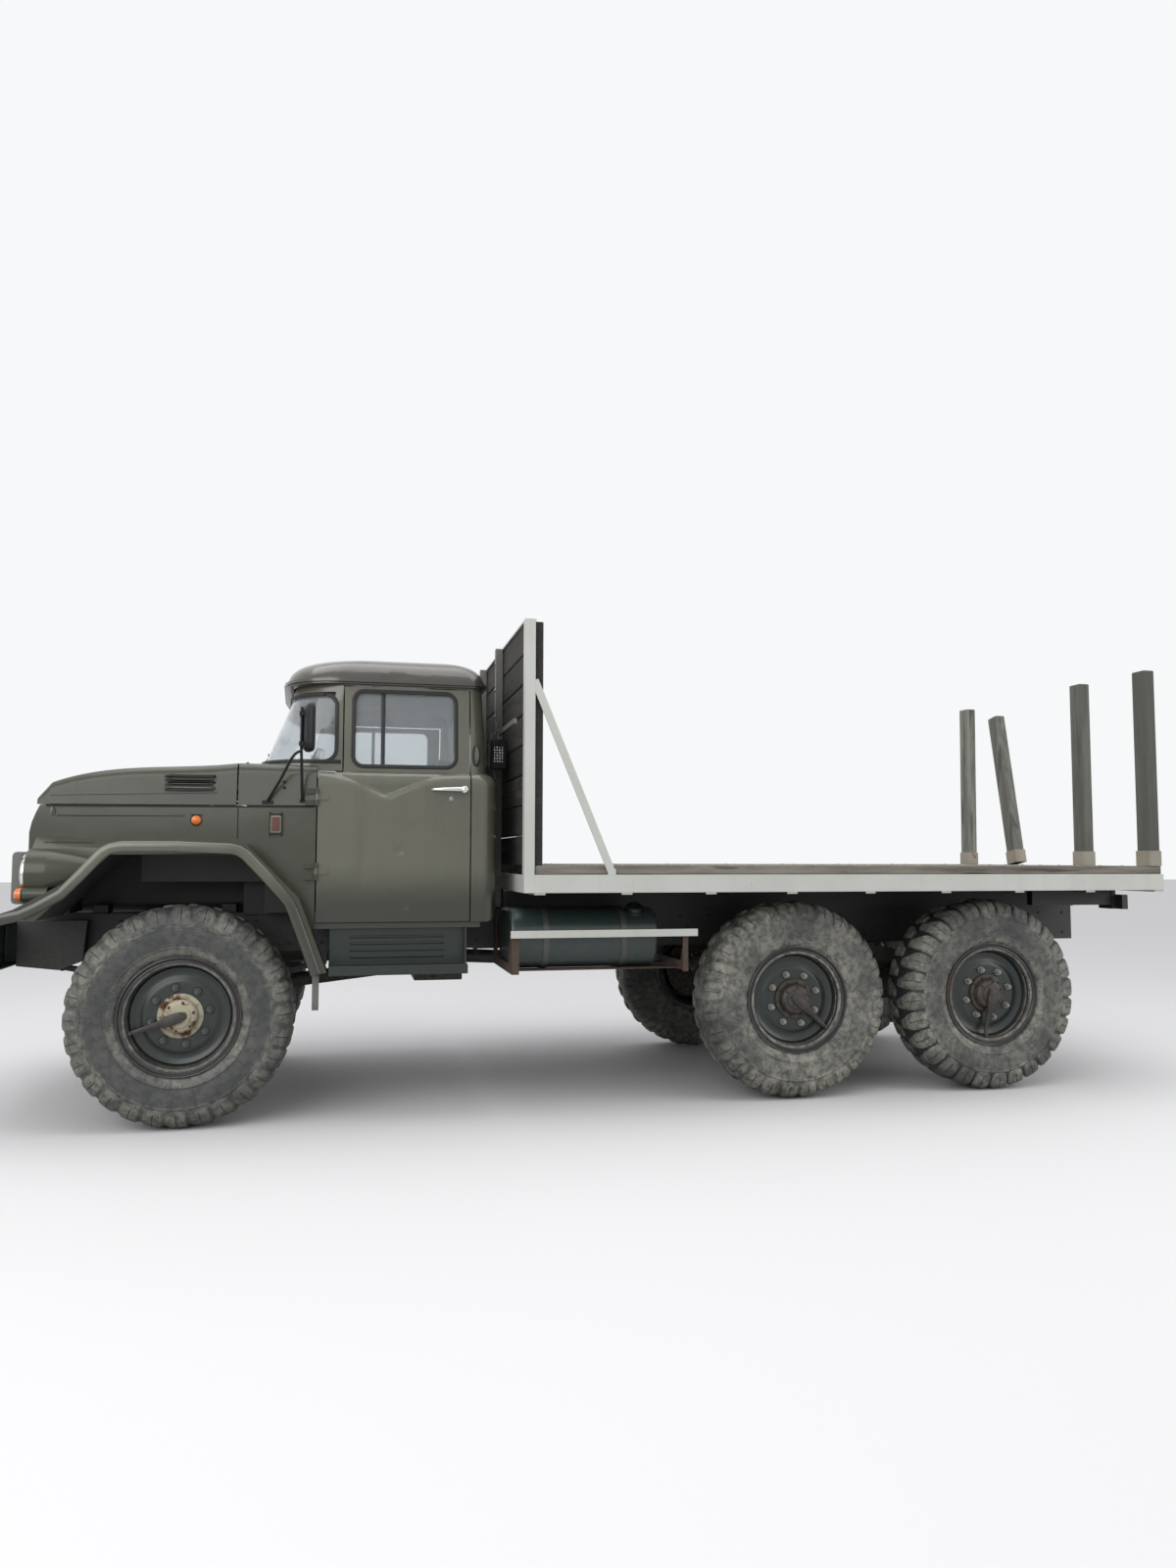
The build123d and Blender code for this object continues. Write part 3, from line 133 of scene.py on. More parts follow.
def buildWeather():
    # Old outdoor paint: blotches, downward streaks, dust that gathers low, rust spots, a slightly wavy skin and a
    # painted shade at the foot of tall panels
    group, given, result = newGroup(
        "weatheredPaint",
        (("Paint", "Color", (0.1, 0.1, 0.1, 1)), ("Worn", "Color", (0.05, 0.05, 0.05, 1)),
         ("Dust", "Color", (*palette["dust"], 1)), ("Rust", "Color", (*palette["rust"], 1)),
         ("Dust Amount", "Float", 0.5), ("Dust Top", "Float", 1.3), ("Rust Amount", "Float", 0.1),
         ("Blotch", "Float", 0.35), ("Gloss", "Float", 0.35), ("Shade", "Float", 0.0), ("Shade Top", "Float", 1.25),
         ("Shade Color", "Color", (0.014, 0.016, 0.007, 1))),
        (("Color", "Color"), ("Roughness", "Float"), ("Height", "Float")))
    plus, less, times, ramped, noisy, mixed, marked = toolsOf(group)
    place = put(group, "TexCoord").outputs["Object"]
    split, stretched = put(group, "SeparateXYZ"), put(group, "Mapping")
    feed(group, split.inputs, {0: place})
    feed(group, stretched.inputs, {"Vector": place, "Scale": weatherValues["streaks"]})
    above = split.outputs["Z"]
    large = ramped(noisy(place, weatherValues["blotchSize"], 5, 0.62), 0.38, 0.72)
    fine = noisy(place, weatherValues["grainSize"], 3, 0.7)
    streak = ramped(noisy(stretched.outputs[0], 1.0, 4, 0.6), 0.5, 0.78)
    blotchy = times(plus(times(large, 0.7), times(streak, 0.45)), given["Blotch"])
    # Painted shade: the foot of a tall panel is darker, up to an uneven line, standing in for the shade and the
    # dark ground reflected there
    shadeLine = times(given["Shade Top"], less(1.0, times(large, 0.07)))
    foot = times(given["Shade"], ramped(above, shadeLine, times(shadeLine, weatherValues["shadeEdge"])))
    painted = mixed(foot, mixed(blotchy, given["Paint"], given["Worn"]), given["Shade Color"])
    lowness = ramped(above, given["Dust Top"], weatherValues["dustFoot"])
    dusty = times(times(lowness, given["Dust Amount"]), ramped(plus(fine, times(streak, 0.25)), 0.3, 0.75))
    # The rusty attribute adds rust where a piece was given some
    rustHere = plus(given["Rust Amount"], marked("rusty"))
    spots = ramped(noisy(place, weatherValues["spotSize"], 8, 0.68), less(0.78, rustHere), less(0.83, rustHere))
    rough = plus(plus(plus(given["Gloss"], times(dusty, 0.5)), times(spots, 0.4)), times(blotchy, 0.12))
    wave = plus(noisy(place, weatherValues["waveSize"], 1, 0.4),
                times(noisy(place, weatherValues["rippleSize"], 2, 0.5), 0.35))
    feed(group, result, {"Color": mixed(spots, mixed(dusty, painted, given["Dust"]), given["Rust"]),
                         "Roughness": rough,
                         "Height": plus(plus(times(fine, 0.04), times(spots, 0.25)), times(wave, 1.3))})
    return group


def buildGrain():
    # Weathered timber: long fibres, cracks and a tone that changes from board to board; the tone also carries a
    # painted shade on the near stakes
    group, given, result = newGroup(
        "weatheredTimber",
        (("Dark", "Color", (0.03, 0.03, 0.03, 1)), ("Light", "Color", (0.2, 0.2, 0.2, 1)),
         ("Stretch", "Vector", (1, 12, 12)), ("Tone And Shade", "Float", 0.5)),
        (("Color", "Color"), ("Height", "Float")))
    plus, less, times, ramped, noisy, mixed, _ = toolsOf(group)
    place = put(group, "TexCoord").outputs["Object"]
    stretched = put(group, "VectorMath", operation="MULTIPLY")
    feed(group, stretched.inputs, {0: place, 1: given["Stretch"]})
    along = stretched.outputs[0]
    fibre = noisy(along, 5.5, 8, 0.7)
    bands = ramped(noisy(along, 1.4, 3, 0.5), 0.3, 0.7)
    patch = noisy(place, 2.1, 4, 0.6)
    crack = ramped(noisy(along, 2.6, 2, 0.3), 0.6, 0.66)
    worn = plus(plus(times(fibre, 0.6), times(bands, 0.3)), times(patch, 0.35))
    light = less(times(worn, plus(given["Tone And Shade"], 0.35)), times(crack, 0.3))
    feed(group, result, {"Color": mixed(ramped(light, 0.2, 0.95), given["Dark"], given["Light"]),
                         "Height": less(times(fibre, 0.8), times(crack, 0.5))})
    return group


def buildRubber():
    # Tyre rubber: dusty bead and shoulder, a darker blue-grey side band and clouds of dust over it all.
    # The attributes say how far a point lies from the axis, set higher on the groove floors to keep them dark as
    # painted shade, how dark the band and how thick the dust is
    group, given, result = newGroup(
        "dustyRubber",
        (("Rubber", "Color", (*palette["rubber"], 1)), ("Dust", "Color", (*palette["tyreDust"], 1)),
         ("Amount", "Float", 0.8)),
        (("Color", "Color"), ("Roughness", "Float"), ("Height", "Float")))
    plus, less, times, ramped, noisy, mixed, marked = toolsOf(group)
    place = put(group, "TexCoord").outputs["Object"]
    reach = marked("reach")
    cloud = ramped(noisy(place, 3.6, 6, 0.65), 0.32, 0.66)
    fine = noisy(place, 70, 3, 0.7)
    shifted = plus(reach, times(less(noisy(place, 11, 4, 0.6), 0.3), 0.05))
    band = times(ramped(shifted, 0.35, 0.366), ramped(shifted, 0.474, 0.448))
    dusted = times(less(1.0, times(band, marked("band"))), times(marked("powder"), ramped(reach, 1.2, 0.6)))
    grit = ramped(noisy(place, 27, 5, 0.7), 0.36, 0.62)
    cover = times(plus(times(cloud, 0.7), 0.22), plus(times(grit, 0.6), times(fine, 0.5)))
    amount = times(times(dusted, cover), given["Amount"])
    feed(group, result, {"Color": mixed(amount, given["Rubber"], given["Dust"]),
                         "Roughness": plus(0.5, times(amount, 0.42)), "Height": plus(fine, grit)})
    return group


weather, grain, dustyRubber = buildWeather(), buildGrain(), buildRubber()


def newMaterial(name, values):
    material = bpy.data.materials.new(name)
    material.use_nodes = True
    tree = material.node_tree
    feed(tree, tree.nodes["Principled BSDF"].inputs, values)
    return material


def grouped(name, group, groupValues, values, bump, distance):
    # A material with colour and relief from a shader group, and roughness where the group gives one
    material = newMaterial(name, values)
    tree = material.node_tree
    look, skin, shader = put(tree, "Group", node_tree=group), put(tree, "Bump"), tree.nodes["Principled BSDF"]
    feed(tree, look.inputs, groupValues)
    feed(tree, skin.inputs, {"Strength": bump, "Distance": distance, "Height": look.outputs["Height"]})
    feed(tree, shader.inputs, {"Base Color": look.outputs["Color"], "Normal": skin.outputs[0]})
    if "Roughness" in look.outputs:
        feed(tree, shader.inputs, {"Roughness": look.outputs["Roughness"]})
    if "Tone And Shade" in look.inputs:
        feed(tree, look.inputs, {"Tone And Shade": attribute(tree, "toneAndShade")})
    return material


def paint(name, colour, worn, gloss=0.35, coat=0.0, dust=0.4, dustTop=1.3, rust=0.05, blotch=0.35, metal=0.0,
          bump=0.12, rustColour=palette["rust"], shade=0.0, shadeTop=1.25, ior=1.5):
    return grouped(name, weather,
                   {"Paint": (*colour, 1), "Worn": (*worn, 1), "Rust": (*rustColour, 1), "Dust Amount": dust,
                    "Dust Top": dustTop, "Rust Amount": rust, "Blotch": blotch, "Gloss": gloss, "Shade": shade,
                    "Shade Top": shadeTop},
                   {"Metallic": metal, "Coat Weight": coat, "Coat Roughness": 0.12, "IOR": ior}, bump, 0.02)


def timber(name, dark, light, stretch):
    return grouped(name, grain, {"Dark": (*dark, 1), "Light": (*light, 1), "Stretch": stretch}, {"Roughness": 0.82},
                   0.5, 0.004)


def plain(name, colour, roughness, metal=0.0, coat=0.0, emission=0.0, transmission=0.0, ior=1.45):
    return newMaterial(name, {"Base Color": (*colour, 1), "Roughness": roughness, "Metallic": metal,
                              "Coat Weight": coat,
                              "Transmission Weight": transmission, "IOR": ior,
                              "Emission Color": (*colour, 1) if emission else (1, 1, 1, 1),
                              "Emission Strength": emission})


finish = {
    # Painted shade: the foot of the cab's panels is darker, below Shade Top
    "body": paint("olive body paint", palette["olive"], palette["oliveWorn"], gloss=0.3, coat=0.6, dust=0.04,
                  dustTop=1.0, rust=0.0, blotch=0.6, bump=0.3, shade=0.92, shadeTop=1.36),
    # Painted shade: the scuttle, bonnet and wings have the cab's olive, painted darker and less glossy here for the
    # shade and darker reflections on them
    "front": paint("olive nose paint with painted shade", palette["oliveNoseShaded"], palette["oliveWorn"], gloss=0.3, coat=0.2, dust=0.04,
                   dustTop=1.0, rust=0.0, blotch=0.6, bump=0.3, ior=1.36),
    # The roof in a darker, browner olive than the cab sides
    "roof": paint("roof paint", palette["roof"], palette["oliveWorn"], gloss=0.3, coat=0.7, dust=0.0, rust=0.0,
                  blotch=0.3, bump=0.1),
    "deepGreen": paint("dark green paint", palette["deepGreen"], (0.005, 0.008, 0.007), gloss=0.34, coat=0.1,
                       dust=0.04,
                       rust=0.04),
    "chassis": paint("chassis black", palette["chassis"], (0.03, 0.026, 0.022), gloss=0.5, dust=0.35, dustTop=1.15,
                     rust=0.12, rustColour=palette["rustDark"]),
    "rim": paint("black rim paint", (0.012, 0.012, 0.013), (0.024, 0.02, 0.018), gloss=0.34, coat=0.3, dust=0.09,
                 dustTop=1.0, rust=0.05, rustColour=palette["rustDark"]),
    "axle": paint("axle paint", (0.02, 0.021, 0.019), (0.035, 0.03, 0.024), gloss=0.55, dust=0.6, dustTop=0.95,
                  rust=0.13, rustColour=palette["rustDark"]),
    "pale": paint("pale rail paint", palette["pale"], (0.3, 0.29, 0.25), gloss=0.5, dust=0.1, dustTop=1.4,
                  rust=0.09,
                  blotch=0.3),
    "upright": paint("grey steel", (0.13, 0.13, 0.115), (0.07, 0.068, 0.06), gloss=0.5, dust=0.0, rust=0.06),
    "rusty": paint("rusty steel", (0.05, 0.032, 0.022), palette["rustDark"], gloss=0.7, dust=0.15, rust=0.2,
                   blotch=0.8,
                   rustColour=(0.1, 0.048, 0.025)),
    "socket": paint("dull socket steel", (0.3, 0.28, 0.23), (0.15, 0.11, 0.07), gloss=0.6, dust=0.1, rust=0.14,
                    blotch=0.8),
    "tank": paint("tank paint", (0.02, 0.036, 0.034), (0.012, 0.018, 0.016), gloss=0.34, coat=0.2, dust=0.16,
                  rust=0.05),
    "bare": paint("bare steel", (0.3, 0.29, 0.27), (0.12, 0.1, 0.08), gloss=0.45, dust=0.2, rust=0.12, metal=0.6),
    "strap": paint("strap steel", (0.085, 0.09, 0.085), (0.05, 0.045, 0.038), gloss=0.4, dust=0.1, rust=0.1,
                   metal=0.5),
    "cream": paint("cream hub paint", palette["cream"], (0.17, 0.14, 0.09), gloss=0.5, dust=0.2, rust=0.24,
                   blotch=0.7, rustColour=(0.12, 0.05, 0.022)),
    "hub": paint("dark hub paint", (0.022, 0.018, 0.015), (0.05, 0.026, 0.016), gloss=0.45, dust=0.2, rust=0.2,
                 blotch=0.6, rustColour=(0.07, 0.032, 0.02)),
    "airArm": paint("air arm paint", (0.02, 0.019, 0.016), (0.045, 0.035, 0.025), gloss=0.5, dust=0.1, rust=0.15,
                    rustColour=(0.07, 0.04, 0.022)),
    "cabInside": paint("cab inside paint", (0.09, 0.1, 0.075), (0.05, 0.05, 0.04), gloss=0.5, dust=0.1, rust=0.0),
    "blackRubber": plain("black rubber", (0.012, 0.012, 0.012), 0.55),
    "blackPlastic": plain("black plastic", (0.006, 0.006, 0.007), 0.45, ior=1.36),
    "seam": plain("dark seam", (0.006, 0.006, 0.005), 0.7),
    "chrome": plain("worn chrome", (0.62, 0.62, 0.6), 0.22, metal=1.0),
    "mirror": plain("mirror glass", (0.75, 0.77, 0.78), 0.03, metal=1.0),
    "lamp": plain("lamp glass", (0.9, 0.9, 0.88), 0.05, transmission=1.0),
    "amber": plain("amber lens", (0.62, 0.16, 0.02), 0.16, coat=0.5, emission=0.05),
    "red": plain("red lens", (0.32, 0.045, 0.03), 0.2, coat=0.5, emission=0.04),
    "brownLens": plain("brown lens", (0.1, 0.03, 0.022), 0.2, coat=0.5),
    "seat": plain("seat cover", palette["seat"], 0.6),
    "dial": plain("dial face", (0.5, 0.5, 0.46), 0.4),
    "boards": timber("dark headboard boards", palette["boardDark"], palette["boardLight"], (12, 1, 12)),
    "planks": timber("deck planks", palette["plankDark"], palette["plankLight"], (1, 14, 14)),
    "stakes": timber("grey stakes", palette["stakeDark"], palette["stakeLight"], (14, 14, 1)),
    "tyre": grouped("tyre rubber", dustyRubber, {}, {}, 0.35, 0.003),
    "window": plain("window glass", (0.8, 0.84, 0.86), 0.03, transmission=0.86, ior=1.35),
}
slotOf = {look.name: "dark_metal" for look in finish.values()}
for slot, looks in (("green_paint", ("body", "roof", "deepGreen", "tank", "cabInside")),
                    ("axle_metal", ("axle", "bare")),
                    ("rusty_steel", ("rusty", "socket")), ("pale_paint", ("pale", "cream")),
                    ("dark_wood", ("boards",)),
                    ("grey_wood", ("planks", "stakes")), ("tyre_rubber", ("tyre",)),
                    ("wheel_paint", ("rim", "hub")),
                    ("window_glass", ("window",)), ("seat_cover", ("seat",)), ("lamp_glass", ("lamp", "mirror")),
                    ("black_plastic", ("blackPlastic", "blackRubber", "seam", "dial")),
                    ("lamp_plastic", ("amber", "red", "brownLens"))):
    for look in looks:
        slotOf[finish[look].name] = slot
print("finishes ready:", len(finish))


# Mesh tools
def newPiece(name, data):
    piece = bpy.data.objects.new(name, data)
    bpy.context.scene.collection.objects.link(piece)
    return piece


def meshFrom(bm, name="part"):
    mesh = bpy.data.meshes.new(name)
    bm.to_mesh(mesh)
    bm.free()
    return mesh


def applied(piece):
    # A piece's mesh with its modifiers applied; the piece itself goes
    mesh = bpy.data.meshes.new_from_object(piece.evaluated_get(bpy.context.evaluated_depsgraph_get()))
    bpy.data.objects.remove(piece)
    return mesh


def rounded(mesh, width, segments=2):
    # Rounds the edges and evens the shading of the faces between them
    holder = newPiece("holder", mesh)
    mesh.shade_smooth()
    edge = holder.modifiers.new("softEdges", "BEVEL")
    edge.width, edge.segments, edge.limit_method, edge.angle_limit = width, segments, "ANGLE", radians(30)
    even = holder.modifiers.new("evenShading", "WEIGHTED_NORMAL")
    even.keep_sharp, even.weight = False, 60
    return applied(holder)


def meshOf(bm, look, bevel=0.0, segments=2, name="part"):
    # Turns a bmesh into a mesh: faces outwards, edges rounded, one finish
    bmesh.ops.recalc_face_normals(bm, faces=bm.faces)
    mesh = meshFrom(bm, name)
    if bevel:
        mesh = rounded(mesh, bevel, segments)
    mesh.materials.append(finish[look])
    return mesh


def settle(name, mesh, body, smooth=None):
    # Puts a finished mesh on its body
    if smooth:
        mesh.shade_smooth()
        mesh.set_sharp_from_angle(angle=radians(smooth))
    piece = newPiece(name, mesh)
    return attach(piece, body)


def solid(name, bm, look, body="chassis", bevel=0.0, segments=2, smooth=35):
    return settle(name, meshOf(bm, look, bevel, segments, name), body, smooth)


def placed(name, mesh, place=Matrix.Identity(4), body="chassis", smooth=35):
    # A moved copy of a mesh as a finished piece
    copy = mesh.copy()
    copy.transform(place)
    return settle(name, copy, body, smooth)


def panel(node, look, body="chassis", bevel=0.003, segments=2, change=None, second=None, where=None):
    # A CAD piece with rounded edges and its own finish, and a second one where a test on centre and normal says so
    bm = bmesh.new()
    bm.from_mesh(nodes[node].data)
    bmesh.ops.remove_doubles(bm, verts=bm.verts, dist=2e-5)
    bmesh.ops.dissolve_limit(bm, angle_limit=radians(0.4), verts=bm.verts, edges=bm.edges, delimit=set())
    if change:
        change(bm)
    mesh = rounded(meshFrom(bm, node), bevel, segments)
    mesh.materials.append(finish[look])
    if second:
        mesh.materials.append(finish[second])
        for face in mesh.polygons:
            face.material_index = int(where(face.center, face.normal))
    piece = settle(node + "Look", mesh, body)
    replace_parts(piece, node)
    return piece


def box(bm, low, high):
    v = [bm.verts.new((x, y, z)) for z in (low[2], high[2]) for y in (low[1], high[1]) for x in (low[0], high[0])]
    for face in ((0, 2, 3, 1), (4, 5, 7, 6), (0, 1, 5, 4), (2, 6, 7, 3), (0, 4, 6, 2), (1, 3, 7, 5)):
        bm.faces.new([v[k] for k in face])


def circle(radius, sides):
    return [(radius * cos(2 * pi * k / sides), radius * sin(2 * pi * k / sides)) for k in range(sides)]


def bar(foot, top):
    # A four-sided section from half its width and its height, at the foot and at the top
    return [(-foot[0], foot[1]), foot, top, (-top[0], top[1])]


def skinRings(bm, rings, closed=False):
    # Faces between rings of points, with a cap at each end of an open row
    count = len(rings[0])
    for a, b in zip(rings, rings[1:] + (rings[:1] if closed else [])):
        for k in range(count):
            bm.faces.new((a[k], a[(k + 1) % count], b[(k + 1) % count], b[k]))
    if not closed:
        bm.faces.new(rings[0][::-1])
        bm.faces.new(rings[-1])


def sweep(bm, path, section, closed=False, normals=None, sizes=None):
    # Carries a section along a path; normals say which way its second coordinate points
    path = [Vector(point) for point in path]
    rings, up = [], None
    for i, point in enumerate(path):
        before = path[i - 1] if i or closed else point
        after = path[(i + 1) % len(path)] if i < len(path) - 1 or closed else point
        run = (after - before).normalized()
        if normals:
            up = Vector(normals[i])
        elif up is None:
            up = Vector((1, 0, 0)) if abs(run.z) > 0.9 else Vector((0, 0, 1))
        side = run.cross(up).normalized()
        up = side.cross(run).normalized()
        size = sizes[i] if sizes else 1.0
        rings.append([bm.verts.new(point + side * u * size + up * v * size) for u, v in section])
    skinRings(bm, rings, closed)


def lathe(bm, profile, place=Matrix.Identity(4), segments=64, closed=False):
    # Turns a profile of (radius, distance along the axis) about the place's local Z
    rings = []
    for radius, along in profile:
        if radius < 1e-6:
            rings.append([bm.verts.new(place @ Vector((0, 0, along)))] * segments)
        else:
            rings.append([bm.verts.new(place @ Vector((x, y, along))) for x, y in circle(radius, segments)])
    for a, b in list(zip(rings, rings[1:])) + ([(rings[-1], rings[0])] if closed else []):
        for k in range(segments):
            j = (k + 1) % segments
            corners = list(dict.fromkeys((a[k], a[j], b[j], b[k])))
            if len(corners) > 2:
                bm.faces.new(corners)


def prism(bm, outline, place, depth):
    low = [bm.verts.new(place @ Vector((x, y, 0))) for x, y in outline]
    high = [bm.verts.new(place @ Vector((x, y, depth))) for x, y in outline]
    bm.faces.new(low[::-1])
    bm.faces.new(high)
    for k in range(len(low)):
        j = (k + 1) % len(low)
        bm.faces.new((low[k], low[j], high[j], high[k]))


def axes(origin, x, y, z):
    # Matrix of a local frame given by its three directions
    turn = Matrix((Vector(x), Vector(y), Vector(z))).transposed().to_4x4()
    return Matrix.Translation(Vector(origin)) @ turn


def facing(origin, direction):
    return Matrix.Translation(Vector(origin)) @ Vector(direction).to_track_quat("Z", "Y").to_matrix().to_4x4()


def treeOf(node):
    mesh = nodes[node].data
    return BVHTree.FromPolygons([v.co[:] for v in mesh.vertices], [p.vertices[:] for p in mesh.polygons])


# Geometry Nodes trees for what repeats round an axis or along a line
def repeatTree(name, inputs, layOut):
    # Copies of a piece on the points that layOut makes, all in one material
    tree = bpy.data.node_groups.new(name, "GeometryNodeTree")
    tree.interface.new_socket("Geometry", in_out="OUTPUT", socket_type="NodeSocketGeometry")
    for label, kind in (("Piece", "Object"), ("Count", "Int"), ("Material", "Material"), *inputs):
        tree.interface.new_socket(label, in_out="INPUT", socket_type="NodeSocket" + kind)
    given = tree.nodes.new("NodeGroupInput").outputs

    def step(kind, values, output=0, **settings):
        node = tree.nodes.new(kind)
        for key, value in settings.items():
            setattr(node, key, value)
        feed(tree, node.inputs, values)
        return node.outputs[output]

    points, turn = layOut(step, given)
    shape = step("GeometryNodeObjectInfo", {"Object": given["Piece"], "As Instance": False}, "Geometry")
    copies = step("GeometryNodeInstanceOnPoints", {"Points": points, "Instance": shape, "Rotation": turn})
    real = step("GeometryNodeRealizeInstances", {"Geometry": copies})
    covered = step("GeometryNodeSetMaterial", {"Geometry": real, "Material": given["Material"]})
    tree.links.new(covered, tree.nodes.new("NodeGroupOutput").inputs[0])
    return tree


def roundAxis(step, given):
    # Count pieces round local Z, at Radius, each turned to face outwards
    share = step("ShaderNodeMath", {0: step("GeometryNodeInputIndex", {}), 1: given["Count"]}, operation="DIVIDE")
    turn = step("ShaderNodeMath", {0: share, 1: 2 * pi, 2: given["Start Turn"]}, operation="MULTIPLY_ADD")
    outward = step("ShaderNodeCombineXYZ", {"X": given["Radius"]})
    spun = step("ShaderNodeVectorRotate", {"Vector": outward, "Angle": turn}, rotation_type="Z_AXIS")
    line = step("GeometryNodeMeshLine", {"Count": given["Count"]})
    return (step("GeometryNodeSetPosition", {"Geometry": line, "Position": spun}),
            step("ShaderNodeCombineXYZ", {"Z": turn}))


def alongLine(step, given):
    # Count pieces, each a Step further than the last
    return step("GeometryNodeMeshLine", {"Count": given["Count"], "Offset": given["Step"]}), (0, 0, 0)


ringTree = repeatTree("ringOfPieces", (("Radius", "Float"), ("Start Turn", "Float")), roundAxis)
rowTree = repeatTree("rowOfPieces", (("Step", "Vector"),), alongLine)


def grow(bm, tree, look, values):
    # Runs a tree on the piece in bm and gives back one plain mesh
    bmesh.ops.recalc_face_normals(bm, faces=bm.faces)
    piece = newPiece("onePiece", meshFrom(bm))
    holder = newPiece("pieces", bpy.data.meshes.new("pieces"))
    modifier = holder.modifiers.new("repeat", "NODES")
    modifier.node_group = tree
    named = {item.name: item.identifier for item in tree.interface.items_tree if item.in_out == "INPUT"}
    for label, value in {"Piece": piece, "Material": finish[look], **values}.items():
        modifier[named[label]] = value
    bpy.context.view_layer.update()
    mesh = applied(holder)
    bpy.data.objects.remove(piece)
    return mesh


def ring(bm, look, count, radius, turn):
    return grow(bm, ringTree, look, {"Count": count, "Radius": radius, "Start Turn": turn})


def row(bm, look, count, step):
    return grow(bm, rowTree, look, {"Count": count, "Step": step})


def grid(bm, look, countA, stepA, countB, stepB):
    # A row of rows
    rows = bmesh.new()
    rows.from_mesh(row(bm, look, countA, stepA))
    return row(rows, look, countB, stepB)


def turned(profile, look, sides=64, closed=False):
    # One turned part in one finish, for joined
    bm = bmesh.new()
    lathe(bm, profile, segments=sides, closed=closed)
    return meshOf(bm, look)


def joined(name, meshes):
    # Several meshes as one, keeping each one's material
    bm = bmesh.new()
    materials = []
    for mesh in meshes:
        start = len(bm.faces)
        bm.from_mesh(mesh)
        bm.faces.ensure_lookup_table()
        for one in mesh.materials:
            if one not in materials:
                materials.append(one)
        for face in bm.faces[start:]:
            face.material_index = materials.index(mesh.materials[face.material_index])
    whole = bpy.data.meshes.new(name)
    bm.to_mesh(whole)
    bm.free()
    for one in materials:
        whole.materials.append(one)
    return whole


print("tools ready")


# Sheet metal: the cab, doors, bonnet and wings
creaseValues = {"from": 0.9, "deepest": 1.275, "to": 1.63, "high": 1.85, "drop": 0.13, "fold": 0.03,
                "depth": 0.019, "cutsAlong": (37, 0.02), "cutsDown": (28, 0.007)}
# Two small dents lower down: x, z, radius, depth
dents = ((1.205, 1.405, 0.03, 0.0045), (1.17, 1.114, 0.022, 0.003))


def dentDoor(bm):
    # The long crease pressed into the shoulder of the left door: a V with a sharp fold, deepest in the middle
    start, middle, end, high = (creaseValues[key] for key in ("from", "deepest", "to", "high"))
    (countX, stepX), (countZ, stepZ) = creaseValues["cutsAlong"], creaseValues["cutsDown"]
    cuts = [((start + stepX * k, 0, 0), (1, 0, 0)) for k in range(countX)]
    cuts += [((0, 0, high - stepZ * k), (0, 0, 1)) for k in range(countZ)]
    for x, z, wide, _ in dents:
        for k in range(-3, 4):
            cuts += [((x + wide * k / 3, 0, 0), (1, 0, 0)), ((0, 0, z + wide * k / 3), (0, 0, 1))]
    for point, normal in cuts:
        near = [f for f in bm.faces if f.calc_center_median().y > 0.97 and f.calc_center_bounds().z < 1.9]
        geometry = set(near)
        for face in near:
            geometry.update(face.edges)
            geometry.update(face.verts)
        bmesh.ops.bisect_plane(bm, geom=list(geometry), plane_co=point, plane_no=normal)
    for vert in bm.verts:
        x, y, z = vert.co
        if y < 0.985 or not start < x < end or z > high:
            continue
        for atX, atZ, wide, deep in dents:
            vert.co.y -= deep * max(0, 1 - ((x - atX) ** 2 + (z - atZ) ** 2) / wide ** 2) ** 2
        run = (x - start) / (middle - start) if x < middle else (end - x) / (end - middle)
        fold = high - 0.012 - creaseValues["drop"] * run ** 1.3
        rise = (high - z) / (high - fold) if z > fold else 1 - (fold - z) / creaseValues["fold"]
        vert.co.y -= creaseValues["depth"] * run ** 0.8 * max(0, rise)


roofDent = {"x": 1.25, "z": 2.335, "long": 0.11, "high": 0.04, "depth": 0.012}


def dentRoof(bm):
    # A shallow dent in the left edge of the roof
    for vert in bm.verts:
        away = (vert.co.x - roofDent["x"]) / roofDent["long"]
        if vert.co.y > 0.8 and abs(away) < 1:
            push = max(0, 1 - abs(vert.co.z - roofDent["z"]) / roofDent["high"])
            push *= roofDent["depth"] * cos(away * pi / 2) ** 2
            vert.co.y -= push
            vert.co.z -= push


noseValues = {"front": 2.99, "foot": 1.5, "high": 0.14, "back": 0.046, "cuts": (1.385, 1.5, 1.55, 1.6)}


def leanNose(bm):
    # The top of the nose lies back a little
    for z in noseValues["cuts"]:
        every = bm.verts[:] + bm.edges[:] + bm.faces[:]
        bmesh.ops.bisect_plane(bm, geom=every, plane_co=(0, 0, z), plane_no=(0, 0, 1))
    for vert in bm.verts:
        above = (vert.co.z - noseValues["foot"]) / noseValues["high"]
        if vert.co.x > noseValues["front"] and above > 0:
            vert.co.x -= noseValues["back"] * above ** 1.5


shadeValues = {"front": 2.96, "rear": 1.66, "ceiling": 1.45, "arch": 1.385, "inside": 0.97}


def hidden(c, n):
    # Painted shade: undersides and what lies behind the wheel arches, in chassis black
    below = c.z < shadeValues["ceiling"] and n.z < -0.5
    behind = c.z < shadeValues["arch"] and abs(c.y) < shadeValues["inside"] and c.x > shadeValues["rear"]
    return c.x < shadeValues["front"] and (below or behind)


hands = (("left", "Left", 1), ("right", "Right", -1))
